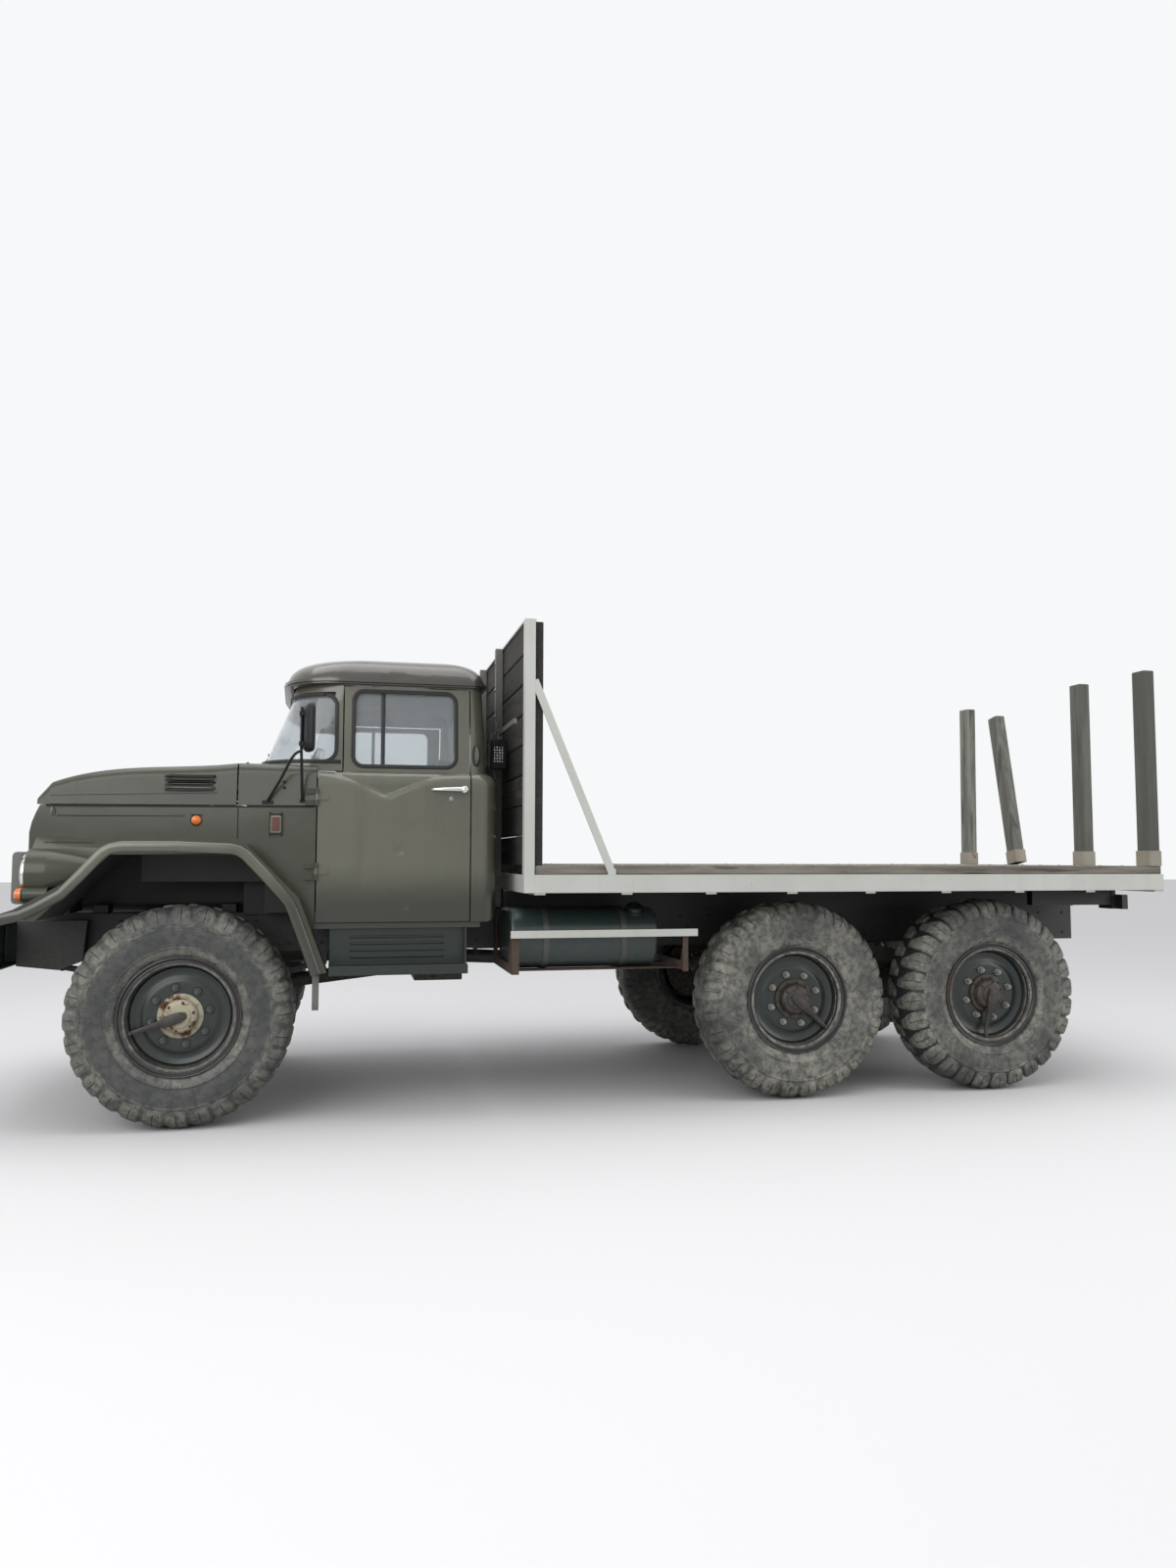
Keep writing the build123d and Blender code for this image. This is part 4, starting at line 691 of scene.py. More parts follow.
# Painted shade in chassis black under the cab shell, scuttle and wings
shadeBelow = {"second": "chassis", "where": hidden}
panel("cab_shell", "body", bevel=0.006, segments=3, **shadeBelow)
panel("cab_roof", "roof", bevel=0.004, change=dentRoof)
panel("cowl", "front", bevel=0.006, segments=3, **shadeBelow)
panel("hood", "front", "hood", 0.01, 3)
panel("door_left", "body", "door_left", 0.0035, change=dentDoor)
panel("door_right", "body", "door_right", 0.0035)
for hand, _, _ in hands:
    panel("wing_" + hand, "front", bevel=0.009, segments=3, change=leanNose, **shadeBelow)
panel("grille", "deepGreen", change=leanNose)
panel("dashboard", "cabInside", bevel=0.012, segments=3)
panel("seat_frames", "chassis")
for hand, _, _ in hands:
    panel("door_glass_" + hand, "window", "door_" + hand, 0.0006, 1)
for node in ("windscreen", "rear_glass"):
    panel(node, "window", bevel=0.0006, segments=1)
print("cab ready")

# Running gear and frame
for node, look, width in (
        ("chassis_frame", "chassis", 0.004), ("front_bumper", "deepGreen", 0.012),
                          ("front_springs", "axle", 0.0015),
        ("rear_springs", "axle", 0.0015), ("torque_rods", "axle", 0.004), ("front_axle", "axle", 0.004),
        ("mid_axle", "axle", 0.005), ("rear_axle", "axle", 0.005), ("driveline", "axle", 0.004),
        ("engine_block", "axle", 0.008), ("exhaust", "rusty", 0.002), ("air_reservoirs", "deepGreen", 0.008),
        ("steps", "deepGreen", 0.003), ("fuel_tanks", "tank", 0.004), ("tail_lamps", "chassis", 0.004),
        ("stake_sockets", "socket", 0.002)):
    panel(node, look, bevel=width)
for hand, _, _ in hands:
    panel("knuckle_" + hand, "axle", "knuckle_" + hand, 0.004)
panel("tie_rod", "axle", "tie_rod")
print("running gear ready")

# Wheels and tyres, made once about their own axis, local Z outwards
tyreValues = {"lugs": 28, "radius": 0.5648, "sides": 112, "pitchShift": 0.5, "groove": 0.004, "wornBy": 0.008}


def tyreProfile(groove):
    # Half of the section from the bead to the crown, at the bottom of the grooves between the lugs
    side = [(0.262, 0.1), (0.262, 0.121), (0.3, 0.1235), (0.306, 0.1245), (0.3125, 0.134), (0.322, 0.1405),
            (0.34, 0.1475), (0.3485, 0.1495), (0.3505, 0.1515), (0.3545, 0.1515), (0.3565, 0.15), (0.38, 0.1545),
            (0.41, 0.1572), (0.436, 0.1572), (0.448, 0.1562), (0.45, 0.1582), (0.4555, 0.1578), (0.458, 0.155),
            (0.47, 0.1525), (0.486, 0.148), (0.502, 0.1415), (0.518, 0.1325), (0.532 - groove / 3, 0.12),
            (0.545 - groove, 0.103), (0.553 - groove, 0.08), (0.558 - groove, 0.05), (0.56 - groove, 0.015)]
    return side + [(r, -z) for r, z in side[::-1]] + [(0.256, -0.09), (0.256, 0.09)]


def lug(worn):
    # Broad shoulder block, lofted from the side wall over the round shoulder to the crown
    low = tyreValues["wornBy"] if worn else 0.0
    stations = (((0.462, 0.15), (0.466, 0.156), 0.0, 0.04), ((0.48, 0.146), (0.488, 0.1545), 0.0, 0.0435),
                ((0.5, 0.138), (0.512, 0.149 - low * 0.2), 0.0, 0.0475),
                ((0.518, 0.126), (0.533 - low * 0.5, 0.139 - low * 0.3), 0.001, 0.0495),
                ((0.53, 0.112), (0.549 - low * 0.7, 0.123 - low * 0.3), 0.003, 0.0495),
                ((0.538, 0.092), (0.5585 - low * 0.6, 0.1), 0.008, 0.0465),
                ((0.543, 0.055), (0.5635, 0.058), 0.018, 0.0345),
                ((0.545, 0.01), (0.5648, 0.01), 0.027, 0.0245))
    bm = bmesh.new()
    rings = []
    for (lowR, lowZ), (topR, topZ), middle, half in stations:
        rings.append([bm.verts.new((r, middle + k * (half + extra), z)) for r, z, k, extra in
                      ((lowR, lowZ, -1, 0.004), (lowR, lowZ, 1, 0.004), (topR - 0.0045, topZ, 1, 0),
                       (topR, topZ, 0.55, 0), (topR, topZ, -0.55, 0), (topR - 0.0045, topZ, -1, 0))])
    skinRings(bm, rings)
    bmesh.ops.recalc_face_normals(bm, faces=bm.faces)
    sharp = [edge for edge in bm.edges if len(edge.link_faces) == 2 and edge.calc_face_angle() > radians(45)]
    bmesh.ops.bevel(bm, geom=sharp, offset=0.005, segments=2, affect="EDGES")
    for vert in bm.verts:
        vert.co.x = min(vert.co.x, tyreValues["radius"])
    return bm


def sipe(worn):
    # Thin dark cut across the middle of each block
    low = tyreValues["wornBy"] if worn else 0.0
    path = [(0.486, 0.0, 0.1552), (0.511, 0.0, 0.1497 - low * 0.2), (0.532 - low * 0.5, 0.001, 0.1398 - low * 0.3),
            (0.5485 - low * 0.7, 0.003, 0.1238 - low * 0.3), (0.558 - low * 0.6, 0.007, 0.1006)]
    bm = bmesh.new()
    sweep(bm, path, bar((0.0018, -0.004), (0.0018, 0.0006)),
          normals=[(0.25, 0, 1), (0.4, 0, 1), (0.65, 0, 1), (1, 0, 0.8), (1, 0, 0.4)])
    return bm


def buildTyre(worn):
    lugs, radius, sides = (tyreValues[key] for key in ("lugs", "radius", "sides"))
    profile = tyreProfile(tyreValues["groove"] * (1 if worn else 2))
    parts = [turned(profile, "tyre", sides, True)]
    for half in (0, 1):
        for build, look in ((lug, "tyre"), (sipe, "seam")):
            mesh = ring(build(worn), look, lugs, 0.0, half * tyreValues["pitchShift"] * 2 * pi / lugs)
            if half:
                mesh.transform(Matrix.Diagonal((1, 1, -1, 1)))
                mesh.flip_normals()
            parts.append(mesh)
    whole = joined("tyre", parts)
    reach = whole.attributes.new("reach", "FLOAT", "POINT")
    for vert, value in zip(whole.vertices, reach.data):
        # The lugs' corners keep to the round of the tread
        out = (vert.co.x ** 2 + vert.co.y ** 2) ** 0.5
        if out > radius:
            vert.co.x, vert.co.y = vert.co.x * radius / out, vert.co.y * radius / out
        value.value = min(out, radius)
    for value in reach.data[:len(profile) * sides]:
        # Painted shade: the floor of the grooves stays dark, with less dust or none
        if value.value > 0.466:
            value.value = 0.84 if worn else 1.6
    return whole


wheelValues = {"nuts": 8, "nutCircle": 0.145, "hubBolts": 10, "boltCircle": 0.0985, "capBolts": 6,
               "capCircle": 0.07}


def hexNut(radius, height, stud):
    bm = bmesh.new()
    lathe(bm, [(0, -0.004), (radius * 1.25, -0.004), (radius * 1.25, 0.003), (0, 0.003)], segments=16)
    prism(bm, circle(radius, 6), Matrix.Translation((0, 0, 0.002)), height)
    lathe(bm, [(0, 0.01), (stud, 0.01), (stud, height + 0.012), (stud * 0.7, height + 0.015), (0, height + 0.015)],
          segments=10)
    return bm


def buildWheel(hubLook, rustFrom, rustTo):
    # Stepped rim, domed disc, hub and cap; the rim may carry rust between two angles
    rim = [(0.302, 0.1305), (0.3012, 0.1345), (0.298, 0.1362), (0.2945, 0.135), (0.2925, 0.131), (0.2895, 0.1265),
           (0.286, 0.1258), (0.2835, 0.129), (0.28, 0.13), (0.277, 0.1275), (0.2755, 0.1215), (0.2725, 0.119),
           (0.2695, 0.1188), (0.2672, 0.115), (0.2665, 0.108), (0.264, 0.106), (0.261, 0.1058), (0.259, 0.102),
           (0.258, 0.09), (0.2545, 0.084), (0.251, 0.08), (0.249, 0.066), (0.246, 0.05), (0.2465, -0.118),
           (0.262, -0.128), (0.29, -0.135), (0.302, -0.131), (0.302, -0.124), (0.266, -0.118), (0.2555, -0.108),
           (0.26, 0.09), (0.27, 0.108), (0.279, 0.118), (0.302, 0.124)]
    disc = [(0.2475, 0.064), (0.243, 0.0665), (0.236, 0.064), (0.226, 0.0585), (0.214, 0.0565), (0.2, 0.058),
            (0.188, 0.063), (0.18, 0.0668), (0.172, 0.0685), (0.16, 0.069), (0.112, 0.069), (0.112, 0.053),
            (0.168, 0.052), (0.19, 0.046), (0.205, 0.042), (0.225, 0.043), (0.2475, 0.05)]
    flange = [(0, 0.03), (0.112, 0.03), (0.113, 0.06), (0.113, 0.079), (0.111, 0.0815), (0.106, 0.0825),
              (0.09, 0.0825), (0.087, 0.08), (0, 0.08)]
    cap = [(0, 0.07), (0.086, 0.07), (0.0855, 0.098), (0.083, 0.108), (0.076, 0.1165), (0.066, 0.12),
           (0.056, 0.1215), (0.054, 0.1265), (0.04, 0.1285), (0, 0.1285)]
    parts = [turned(rim, "rim", 96, True), turned(disc, "deepGreen", 96, True), turned(flange, hubLook),
             turned(cap, hubLook)]
    collar = bmesh.new()
    lathe(collar, [(0, -0.003), (0.024, -0.003), (0.0235, 0.0025), (0.0205, 0.0055), (0, 0.0055)], segments=20)
    nuts, nutCircle, hubBolts, boltCircle, capBolts, capCircle = wheelValues.values()
    for piece, count, radius, turn, lift, look in (
            (collar, nuts, nutCircle, 0.2, 0.069, "deepGreen"),
            (hexNut(0.015, 0.022, 0.0085), nuts, nutCircle, 0.2, 0.072, "strap" if hubLook == "cream" else "bare"),
            (hexNut(0.0055, 0.006, 0.002), hubBolts, boltCircle, 0.0, 0.0825, hubLook),
            (hexNut(0.0065, 0.005, 0.002), capBolts, capCircle, 0.3, 0.1165, "hub")):
        mesh = ring(piece, look, count, radius, turn)
        mesh.transform(Matrix.Translation((0, 0, lift)))
        parts.append(mesh)
    whole = joined("wheel", parts)
    rusty = whole.attributes.new("rusty", "FLOAT", "POINT")
    middle, spread = (rustFrom + rustTo) / 2, max(1e-3, (rustTo - rustFrom) / 2)
    for vert, value in zip(whole.vertices, rusty.data):
        x, y, z = vert.co
        away = abs((atan2(y, x) - middle + pi) % (2 * pi) - pi) / spread
        outside = rustTo > rustFrom and z > 0.1 and (x * x + y * y) ** 0.5 > 0.262
        value.value = 0.34 * max(0, 1 - away ** 2) if outside else 0
    return whole


def airArm(turn):
    # Air supply: wide over the hub, tapering out to the valve in the rim
    bm = bmesh.new()
    path = [(-0.036, 0, 0.131), (-0.01, 0, 0.1355), (0.03, 0, 0.1385), (0.062, 0, 0.137), (0.092, 0, 0.129),
            (0.125, 0, 0.118), (0.165, 0, 0.108), (0.205, 0, 0.102), (0.24, 0, 0.101), (0.262, 0, 0.108)]
    section = [(0.016, -0.012), (0.016, 0.002), (0.0095, 0.0065), (-0.0095, 0.0065), (-0.016, 0.002),
               (-0.016, -0.012)]
    sweep(bm, path, section, sizes=(0.9, 1.5, 1.75, 1.6, 1.2, 0.95, 0.8, 0.68, 0.6, 0.45))
    lathe(bm, [(0, 0.12), (0.026, 0.12), (0.026, 0.144), (0.02, 0.147), (0, 0.147)], segments=20)
    lathe(bm, [(0, 0.0), (0.011, 0.0), (0.011, 0.03), (0.007, 0.034), (0, 0.034)],
          Matrix.Translation((0.248, 0, 0.084)), 12)
    bm.transform(Matrix.Rotation(turn, 4, "Z"))
    return meshOf(bm, "airArm")


tyres = {"worn": buildTyre(True), "deep": buildTyre(False)}
# Place, x, tread, turn of the air arm, turn of the wheel, hub finish, rust from and to, side band, dust
wheelTable = (("front", 2.29, "worn", 0.32, 0.0, "cream", 0, 0, 0.68, 0.95),
              ("mid", -1.06, "worn", 2.42, 0.11, "hub", 0, 0, 0.2, 1.5),
              ("rear", -2.31, "deep", 1.45, 0.05, "hub", -0.95, 0.35, 0.42, 1.35))
for place, x, wear, armTurn, spin, hubLook, rustFrom, rustTo, band, powder in wheelTable:
    wheel = buildWheel(hubLook, rustFrom, rustTo)
    for hand, capital, side in hands:
        name, body = place.title() + capital, place + "_" + hand + "_wheel"
        where = axes((x, side * 0.91, 0.565), (1, 0, 0), (0, 0, -side), (0, side, 0))
        spun = where @ Matrix.Rotation(spin, 4, "Z")
        tyre = placed("tyre" + name, tyres[wear], spun, body, 40)
        for label, value in (("band", band), ("powder", powder)):
            layer = tyre.data.attributes.new(label, "FLOAT", "POINT")
            layer.data.foreach_set("value", [value] * len(tyre.data.vertices))
        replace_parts(tyre, "tyre_" + place + "_" + hand)
        metal = placed("wheel" + name, wheel, spun, body)
        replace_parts(metal, "wheel_" + place + "_" + hand)
        placed("airArm" + name, airArm(armTurn), where, body)
print("wheels ready")

# Load bed: planks, headboard and stakes, each board with a tone of its own
bedValues = {"planks": 12, "pitch": 2.48 / 12, "half": 1.24, "boards": 8, "boardPitch": 0.1635, "bearers": 9,
             "bearerStep": (3.864 - 0.06) / 8}


def tones(mesh, seed):
    # A tone for every separate board of a mesh, read by the timber finish
    bm = bmesh.new()
    bm.from_mesh(mesh)
    layer = bm.verts.layers.float.get("toneAndShade") or bm.verts.layers.float.new("toneAndShade")
    reached, count = set(), 0
    for first in bm.verts:
        if first in reached:
            continue
        value = 0.5 + 0.5 * noise.noise(Vector((count * 3.7, seed * 1.9, 0.3)))
        count += 1
        queue = [first]
        while queue:
            vert = queue.pop()
            if vert in reached:
                continue
            reached.add(vert)
            vert[layer] = value
            queue += [edge.other_vert(vert) for edge in vert.link_edges]
    bm.to_mesh(mesh)
    bm.free()


def board(low, high, edge=0.003):
    bm = bmesh.new()
    box(bm, low, high)
    bmesh.ops.recalc_face_normals(bm, faces=bm.faces)
    bmesh.ops.bevel(bm, geom=bm.edges[:], offset=edge, segments=2, affect="EDGES")
    return bm


plankCount, pitch, half, boardCount, boardPitch, bearers, bearerStep = bedValues.values()
planks = row(board((-3.351, -half + 0.003, 1.2842), (0.503, -half + pitch - 0.003, 1.332)),
             "planks", plankCount, (0, pitch, 0))
tones(planks, 1)
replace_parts(placed("bedPlanks", planks), "bed_planks")
boards = row(board((0.525, -1.241, 1.333), (0.5567, 1.241, 1.333 + boardPitch - 0.005), 0.004),
             "boards", boardCount, (0, 0, boardPitch))
postPair = bmesh.new()
for side in (1, -1):
    box(postPair, (0.463, side * 1.17 - 0.03 * side, 1.3325), (0.5085, side * 1.23, 2.641))
boards = joined("boards", [boards, meshOf(postPair, "boards", 0.004)])
tones(boards, 2)
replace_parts(placed("headboardBoards", boards), "headboard_boards")
stakes = panel("stakes", "stakes", bevel=0.007)
tones(stakes.data, 3)
for vert, toneAndShade in zip(stakes.data.vertices, stakes.data.attributes["toneAndShade"].data):
    # Painted shade: the near stakes, on the left side, are darker
    toneAndShade.value -= 0.3 if vert.co.y > 0 else 0.0
panel("headboard_frame", "pale", bevel=0.0025, second="upright",
      where=lambda c, n: abs(c.y) < 1.15 and c.x > 0.5655)
panel("tank_guards", "rusty", bevel=0.0025, second="pale", where=lambda c, n: abs(c.y) > 1.1425)
panel("bed_frame", "pale", second="chassis",
      where=lambda c, n: (abs(c.y) < 1.178 and -3.28 < c.x < 0.49) or c.z < 1.177)


def dome(radius, height, sides=12):
    bm = bmesh.new()
    lathe(bm, [(0, -0.002), (radius, -0.002), (radius, height * 0.25), (radius * 0.8, height * 0.75),
               (radius * 0.45, height), (0, height)], segments=sides)
    return bm


deckBolts = grid(dome(0.011, 0.0035), "bare", bearers, (bearerStep, 0, 0), plankCount, (0, pitch, 0))
placed("deckBolts", deckBolts, Matrix.Translation((-3.325, -half + pitch / 2, 1.3315)))
boardBolts = grid(dome(0.012, 0.006), "bare", boardCount, (-boardPitch, 0, 0), 2, (0, 0.76, 0))
placed("boardBolts", boardBolts, axes((0.605, -0.38, 1.412), (0, 0, -1), (0, 1, 0), (1, 0, 0)))
for side in (1, -1):
    rivets = grid(dome(0.01, 0.006, 10), "chassis", 34, (0.18, 0, 0), 2, (0, 0.13, 0))
    placed("frameRivets", rivets, axes((-3.25, side * 0.432, 0.885 if side < 0 else 1.015), (1, 0, 0),
                                       (0, 0, -side), (0, side, 0)))
print("load bed ready")

# Cab trims laid on the sheet metal by casting rays at it
cabSkin, roofSkin, screenSkin = (treeOf(node) for node in ("cab_shell", "cab_roof", "windscreen"))
strip = [(-0.011, -0.003), (0.011, -0.003), (0.0105, 0.003), (0.006, 0.0065), (-0.006, 0.0065), (-0.0105, 0.003)]


def hit(tree, origin, direction):
    place, normal, _, _ = tree.ray_cast(Vector(origin), Vector(direction).normalized())
    if place is None:
        return None
    return place, normal if normal.dot(Vector(direction)) < 0 else -normal


def roundedFrame(low, high, radius, steps=7):
    # Points round a rectangle with rounded corners
    points = []
    for cx, cy, start in ((high[0] - radius, high[1] - radius, 0), (low[0] + radius, high[1] - radius, 90),
                          (low[0] + radius, low[1] + radius, 180), (high[0] - radius, low[1] + radius, 270)):
        for k in range(steps + 1):
            turn = radians(start + 90 * k / steps)
            points.append((cx + radius * cos(turn), cy + radius * sin(turn)))
    return points


def layStrip(name, casts, tree, look, body="chassis", section=strip, closed=False):
    found = [one for one in (hit(tree, *cast) for cast in casts) if one]
    normals = [n for _, n in found]
    smooth = []
    for k in range(len(normals)):
        near = [normals[(k + j) % len(normals)] for j in (-1, 0, 1)] if closed else normals[max(0, k - 1):k + 2]
        smooth.append(sum(near, Vector()).normalized())
    bm = bmesh.new()
    sweep(bm, [p for p, _ in found], section, closed, smooth)
    return solid(name, bm, look, body, smooth=40)


# Openings for glass: low and high corners; the rubbers lie 9 mm outside them
doorGlass, screen, rubber = ((0.911, 1.871), (1.442, 2.265)), {"low": 1.892, "high": 2.246, "side": 1.548}, 0.009
for hand, capital, side in hands:
    (x0, z0), (x1, z1) = doorGlass
    outline = roundedFrame((x0 - rubber, z0 - rubber), (x1 + rubber, z1 + rubber), 0.055)
    layStrip("doorGasket" + capital, [((x, side * 2, z), (0, -side, 0)) for x, z in outline],
             treeOf("door_" + hand), "blackRubber", "door_" + hand, closed=True)
    layStrip("windowBar" + capital, [((1.295, side * 2, 1.873 + 0.39 * k / 8), (0, -side, 0)) for k in range(9)],
             treeOf("door_glass_" + hand), "blackRubber", "door_" + hand)
screenLow, screenHigh, sideX = screen["low"] - rubber, screen["high"] + rubber, screen["side"] - rubber


def screenCasts():
    # Up one side, across the front at the top, down the other side and back along the foot
    casts = []

    def corner(side, top):
        cz = screenHigh - 0.07 if top else screenLow + 0.07
        arc = []
        for k in range(8):
            turn = radians(90 * k / 7)
            z = cz + (0.07 * sin(turn) if top else -0.07 * sin(turn))
            arc.append(((sideX + 0.07 - 0.07 * cos(turn), side * 2, z), (0, -side, 0)))
        return arc

    def across(z, way):
        line = []
        for k in range(61):
            turn = radians(way * (75 - 150 * k / 60))
            line.append(((1.25 + 3 * cos(turn), 3 * sin(turn), z), (-cos(turn), -sin(turn), 0)))
        return line

    casts += corner(1, True) + across(screenHigh, 1) + corner(-1, True)[::-1]
    casts += corner(-1, False) + across(screenLow, -1) + corner(1, False)[::-1]
    return casts


def ringCasts(radius, x, z, count):
    # Casts at the truck from all round a point on its centre line
    return [((x + radius * cos(2 * pi * k / count), radius * sin(2 * pi * k / count), z),
             (-cos(2 * pi * k / count), -sin(2 * pi * k / count), 0)) for k in range(count)]


layStrip("screenGasket", screenCasts(), cabSkin, "blackRubber", closed=True)
layStrip("screenDivider", [((4, 0, screenLow + 0.012 + 0.335 * k / 8), (-1, 0, 0)) for k in range(9)], screenSkin,
         "blackRubber")
rearOutline = roundedFrame((-0.409, 1.871), (0.409, 2.199), 0.05)
layStrip("rearGasket", [((-1, y, z), (1, 0, 0)) for y, z in rearOutline], cabSkin, "blackRubber", closed=True)
gutter = [(0.004, -0.004), (0.004, 0.014), (-0.011, 0.014), (-0.011, 0.0115), (0.001, 0.0115), (0.001, -0.004)]
layStrip("dripRail", ringCasts(4, 1.27, 2.324, 160), roofSkin, "roof", section=gutter, closed=True)
for side in (1, -1):
    # Wiper: a blade that rests on the glass and the arm that presses it down
    for name, count, y, shift, z, look, section in (
            ("wiperBlade", 9, 0.16, 0.44, 1.925, "blackRubber", bar((0.003, 0.001), (0.005, 0.012))),
            ("wiperArm", 6, 0.44, -0.06, 1.915, "blackPlastic", bar((0.004, 0.014), (0.004, 0.02)))):
        parts = [k / (count - 1) for k in range(count)]
        layStrip(name, [((4, side * (y + shift * part), z + 0.02 * part), (-1, 0, 0)) for part in parts],
                 screenSkin,
                 look, section=section)
print("cab trims ready")


# Door handles, vents, louvres and latches, built for the left side and mirrored
def mirrored(look, bodies=("chassis", "chassis"), bevel=0.0, smooth=35):
    # Makes the left piece that the function below it describes, and its mirror image on the right
    def make(build):
        pieces = []
        for (_, capital, side), body in zip(hands, bodies):
            bm = bmesh.new()
            build(bm)
            bm.transform(Matrix.Diagonal((1, side, 1, 1)))
            pieces.append(solid(build.__name__ + capital, bm, look, body, bevel, smooth=smooth))
        return pieces
    return make


doors, hoods = ("door_left", "door_right"), ("hood", "hood")
doorSkin, hoodSkin, wingSkin, cowlSkin = (treeOf(node) for node in ("door_left", "hood", "wing_left", "cowl"))


def skinY(tree, x, z):
    found = hit(tree, (x, 3, z), (0, -1, 0))
    return found[0].y if found else 1.0


def knob(bm, skin, x, z, profile, sides):
    # A turned piece that stands on a skin
    lathe(bm, profile, facing((x, skinY(skin, x, z), z), (0, 1, 0)), sides)


@mirrored("chrome", doors)
def handleBar(bm):
    y = skinY(doorSkin, 0.95, 1.739)
    path = [(0.866, y + 0.034, 1.74), (0.89, y + 0.0365, 1.7405), (0.93, y + 0.036, 1.74),
            (0.98, y + 0.033, 1.739), (1.02, y + 0.026, 1.738), (1.036, y + 0.012, 1.738)]
    sweep(bm, path, circle(0.0115, 12), sizes=(1.1, 1.15, 1.05, 0.9, 0.7, 0.5))


@mirrored("chrome", doors)
def handleRose(bm):
    knob(bm, doorSkin, 0.862, 1.74, [(0, -0.006), (0.0215, -0.006), (0.0215, 0.008), (0.019, 0.013), (0.015, 0.016),
                                      (0.015, 0.04), (0.0165, 0.043), (0.0165, 0.048), (0.012, 0.051), (0, 0.0515)],
         24)


@mirrored("bare", doors)
def doorLock(bm):
    knob(bm, doorSkin, 0.93, 1.69, [(0, -0.004), (0.012, -0.004), (0.012, 0.003), (0.009, 0.005), (0, 0.005)], 16)


ventValues = {"x": 0.792, "z": 1.932, "wide": 0.0165, "high": 0.054}
ventRing = [(ventValues["x"] + ventValues["wide"] * x, ventValues["z"] + ventValues["high"] * z)
            for x, z in circle(1, 32)]


@mirrored("blackRubber")
def ventRim(bm):
    path = [(x, skinY(cabSkin, x, z) + 0.002, z) for x, z in ventRing]
    sweep(bm, path, circle(0.0062, 8), True, [(0, 1, 0)] * 32)


@mirrored("body")
def ventFlap(bm):
    y = skinY(cabSkin, ventValues["x"], ventValues["z"])
    prism(bm, ventRing[::-1], axes((0, y - 0.003, 0), (1, 0, 0), (0, 0, 1), (0, -1, 0)), -0.005)


louvreValues = {"from": 2.16, "to": 2.404, "heights": (1.723, 1.7465, 1.77, 1.7935)}


def louvres(bm, rise, lift, section, sizes=None):
    start, end = louvreValues["from"], louvreValues["to"]
    for z in louvreValues["heights"]:
        spots = [start + (end - start) * k / 8 for k in range(9)]
        sweep(bm, [(x, skinY(hoodSkin, x, z + rise) + lift, z + rise) for x in spots], section,
              normals=[(0, 1, 0.25)] * 9, sizes=sizes)


# Painted shade: flat black strips on the bonnet skin stand for the dark openings under the louvre lips
@mirrored("blackPlastic", hoods)
def louvreSlots(bm):
    louvres(bm, 0, 0.0008, bar((0.0065, 0), (0.0065, 0.0012)))


@mirrored("front", hoods)
def louvreLips(bm):
    louvres(bm, 0.0085, 0.0, [(0.006, -0.003), (0.0035, 0.005), (-0.002, 0.0095), (-0.006, 0.0105),
                              (-0.006, 0.0088),
                              (-0.001, 0.005), (0.001, -0.003)], (0.25, 0.8, 1, 1, 1, 1, 1, 0.8, 0.25))


@mirrored("body", bevel=0.0015)
def bonnetLatches(bm):
    y = skinY(wingSkin, 2.952, 1.6)
    box(bm, (2.941, y - 0.003, 1.588), (2.963, y + 0.006, 1.622))
    sweep(bm, [(2.952, y + 0.008, 1.592), (2.952, y + 0.015, 1.606), (2.952, y + 0.01, 1.63)], circle(0.005, 8))


# Seams between the bonnet, wings and scuttle, and the lines pressed into their sides
seamValues = {"line": 1.6365, "wide": 0.009, "joint": 2.0335, "jointFoot": 1.468, "cheek": 1.446}
bead = bar((0.0075, -0.0012), (0.0035, 0.0022))


def sideCasts(start, end, count, side):
    # Casts at one side of the truck, along a line from (x, z) to (x, z)
    spots = [[a + (b - a) * k / (count - 1) for a, b in zip(start, end)] for k in range(count)]
    return [((x, side * 3, z), (0, -side, 0)) for x, z in spots]


for hand, capital, side in hands:
    wingTree, (line, wide, joint, jointFoot, cheek) = treeOf("wing_" + hand), seamValues.values()
    for name, start, end, width in (("bonnetSeam", (2.985, line), (1.646, line), wide),
                                    ("wingJoint", (joint, 1.633), (joint, jointFoot), 0.006),
                                    ("cheekJoint", (2.975, cheek), (2.735, cheek), 0.006)):
        layStrip(name + capital, sideCasts(start, end, 25, side), wingTree, "seam",
                 section=bar((0.5 * width, -0.002), (0.5 * width, 0.0008)))
    layStrip("bonnetBead" + capital, sideCasts((2.97, 1.694), (2.14, 1.713), 13, side), hoodSkin, "front", "hood",
             bead)
    layStrip("wingBead" + capital, sideCasts((2.93, 1.59), (2.3, 1.59), 13, side), wingTree, "front", section=bead)

archPath = ((3.118, 1.066), (3.02, 1.087), (2.955, 1.118), (2.84, 1.187), (2.762, 1.272), (2.675, 1.371),
            (2.652, 1.394),
            (2.62, 1.412), (2.57, 1.4215), (2.313, 1.4225), (2.05, 1.412), (2.012, 1.403), (1.978, 1.381),
            (1.88, 1.278),
            (1.785, 1.17), (1.76, 1.138), (1.743, 1.1), (1.682, 0.938), (1.622, 0.772))


@mirrored("body", smooth=60)
def archLip(bm):
    half = [(cos(pi * k / 8) * -0.0275, 0.002 + 0.0135 * sin(pi * k / 8) ** 0.8) for k in range(9)]
    sweep(bm, [(x, 1.137, z + 0.003) for x, z in archPath], [(-0.0275, -0.003)] + half + [(0.0275, -0.003)],
          normals=[(0, 1, 0)] * len(archPath))


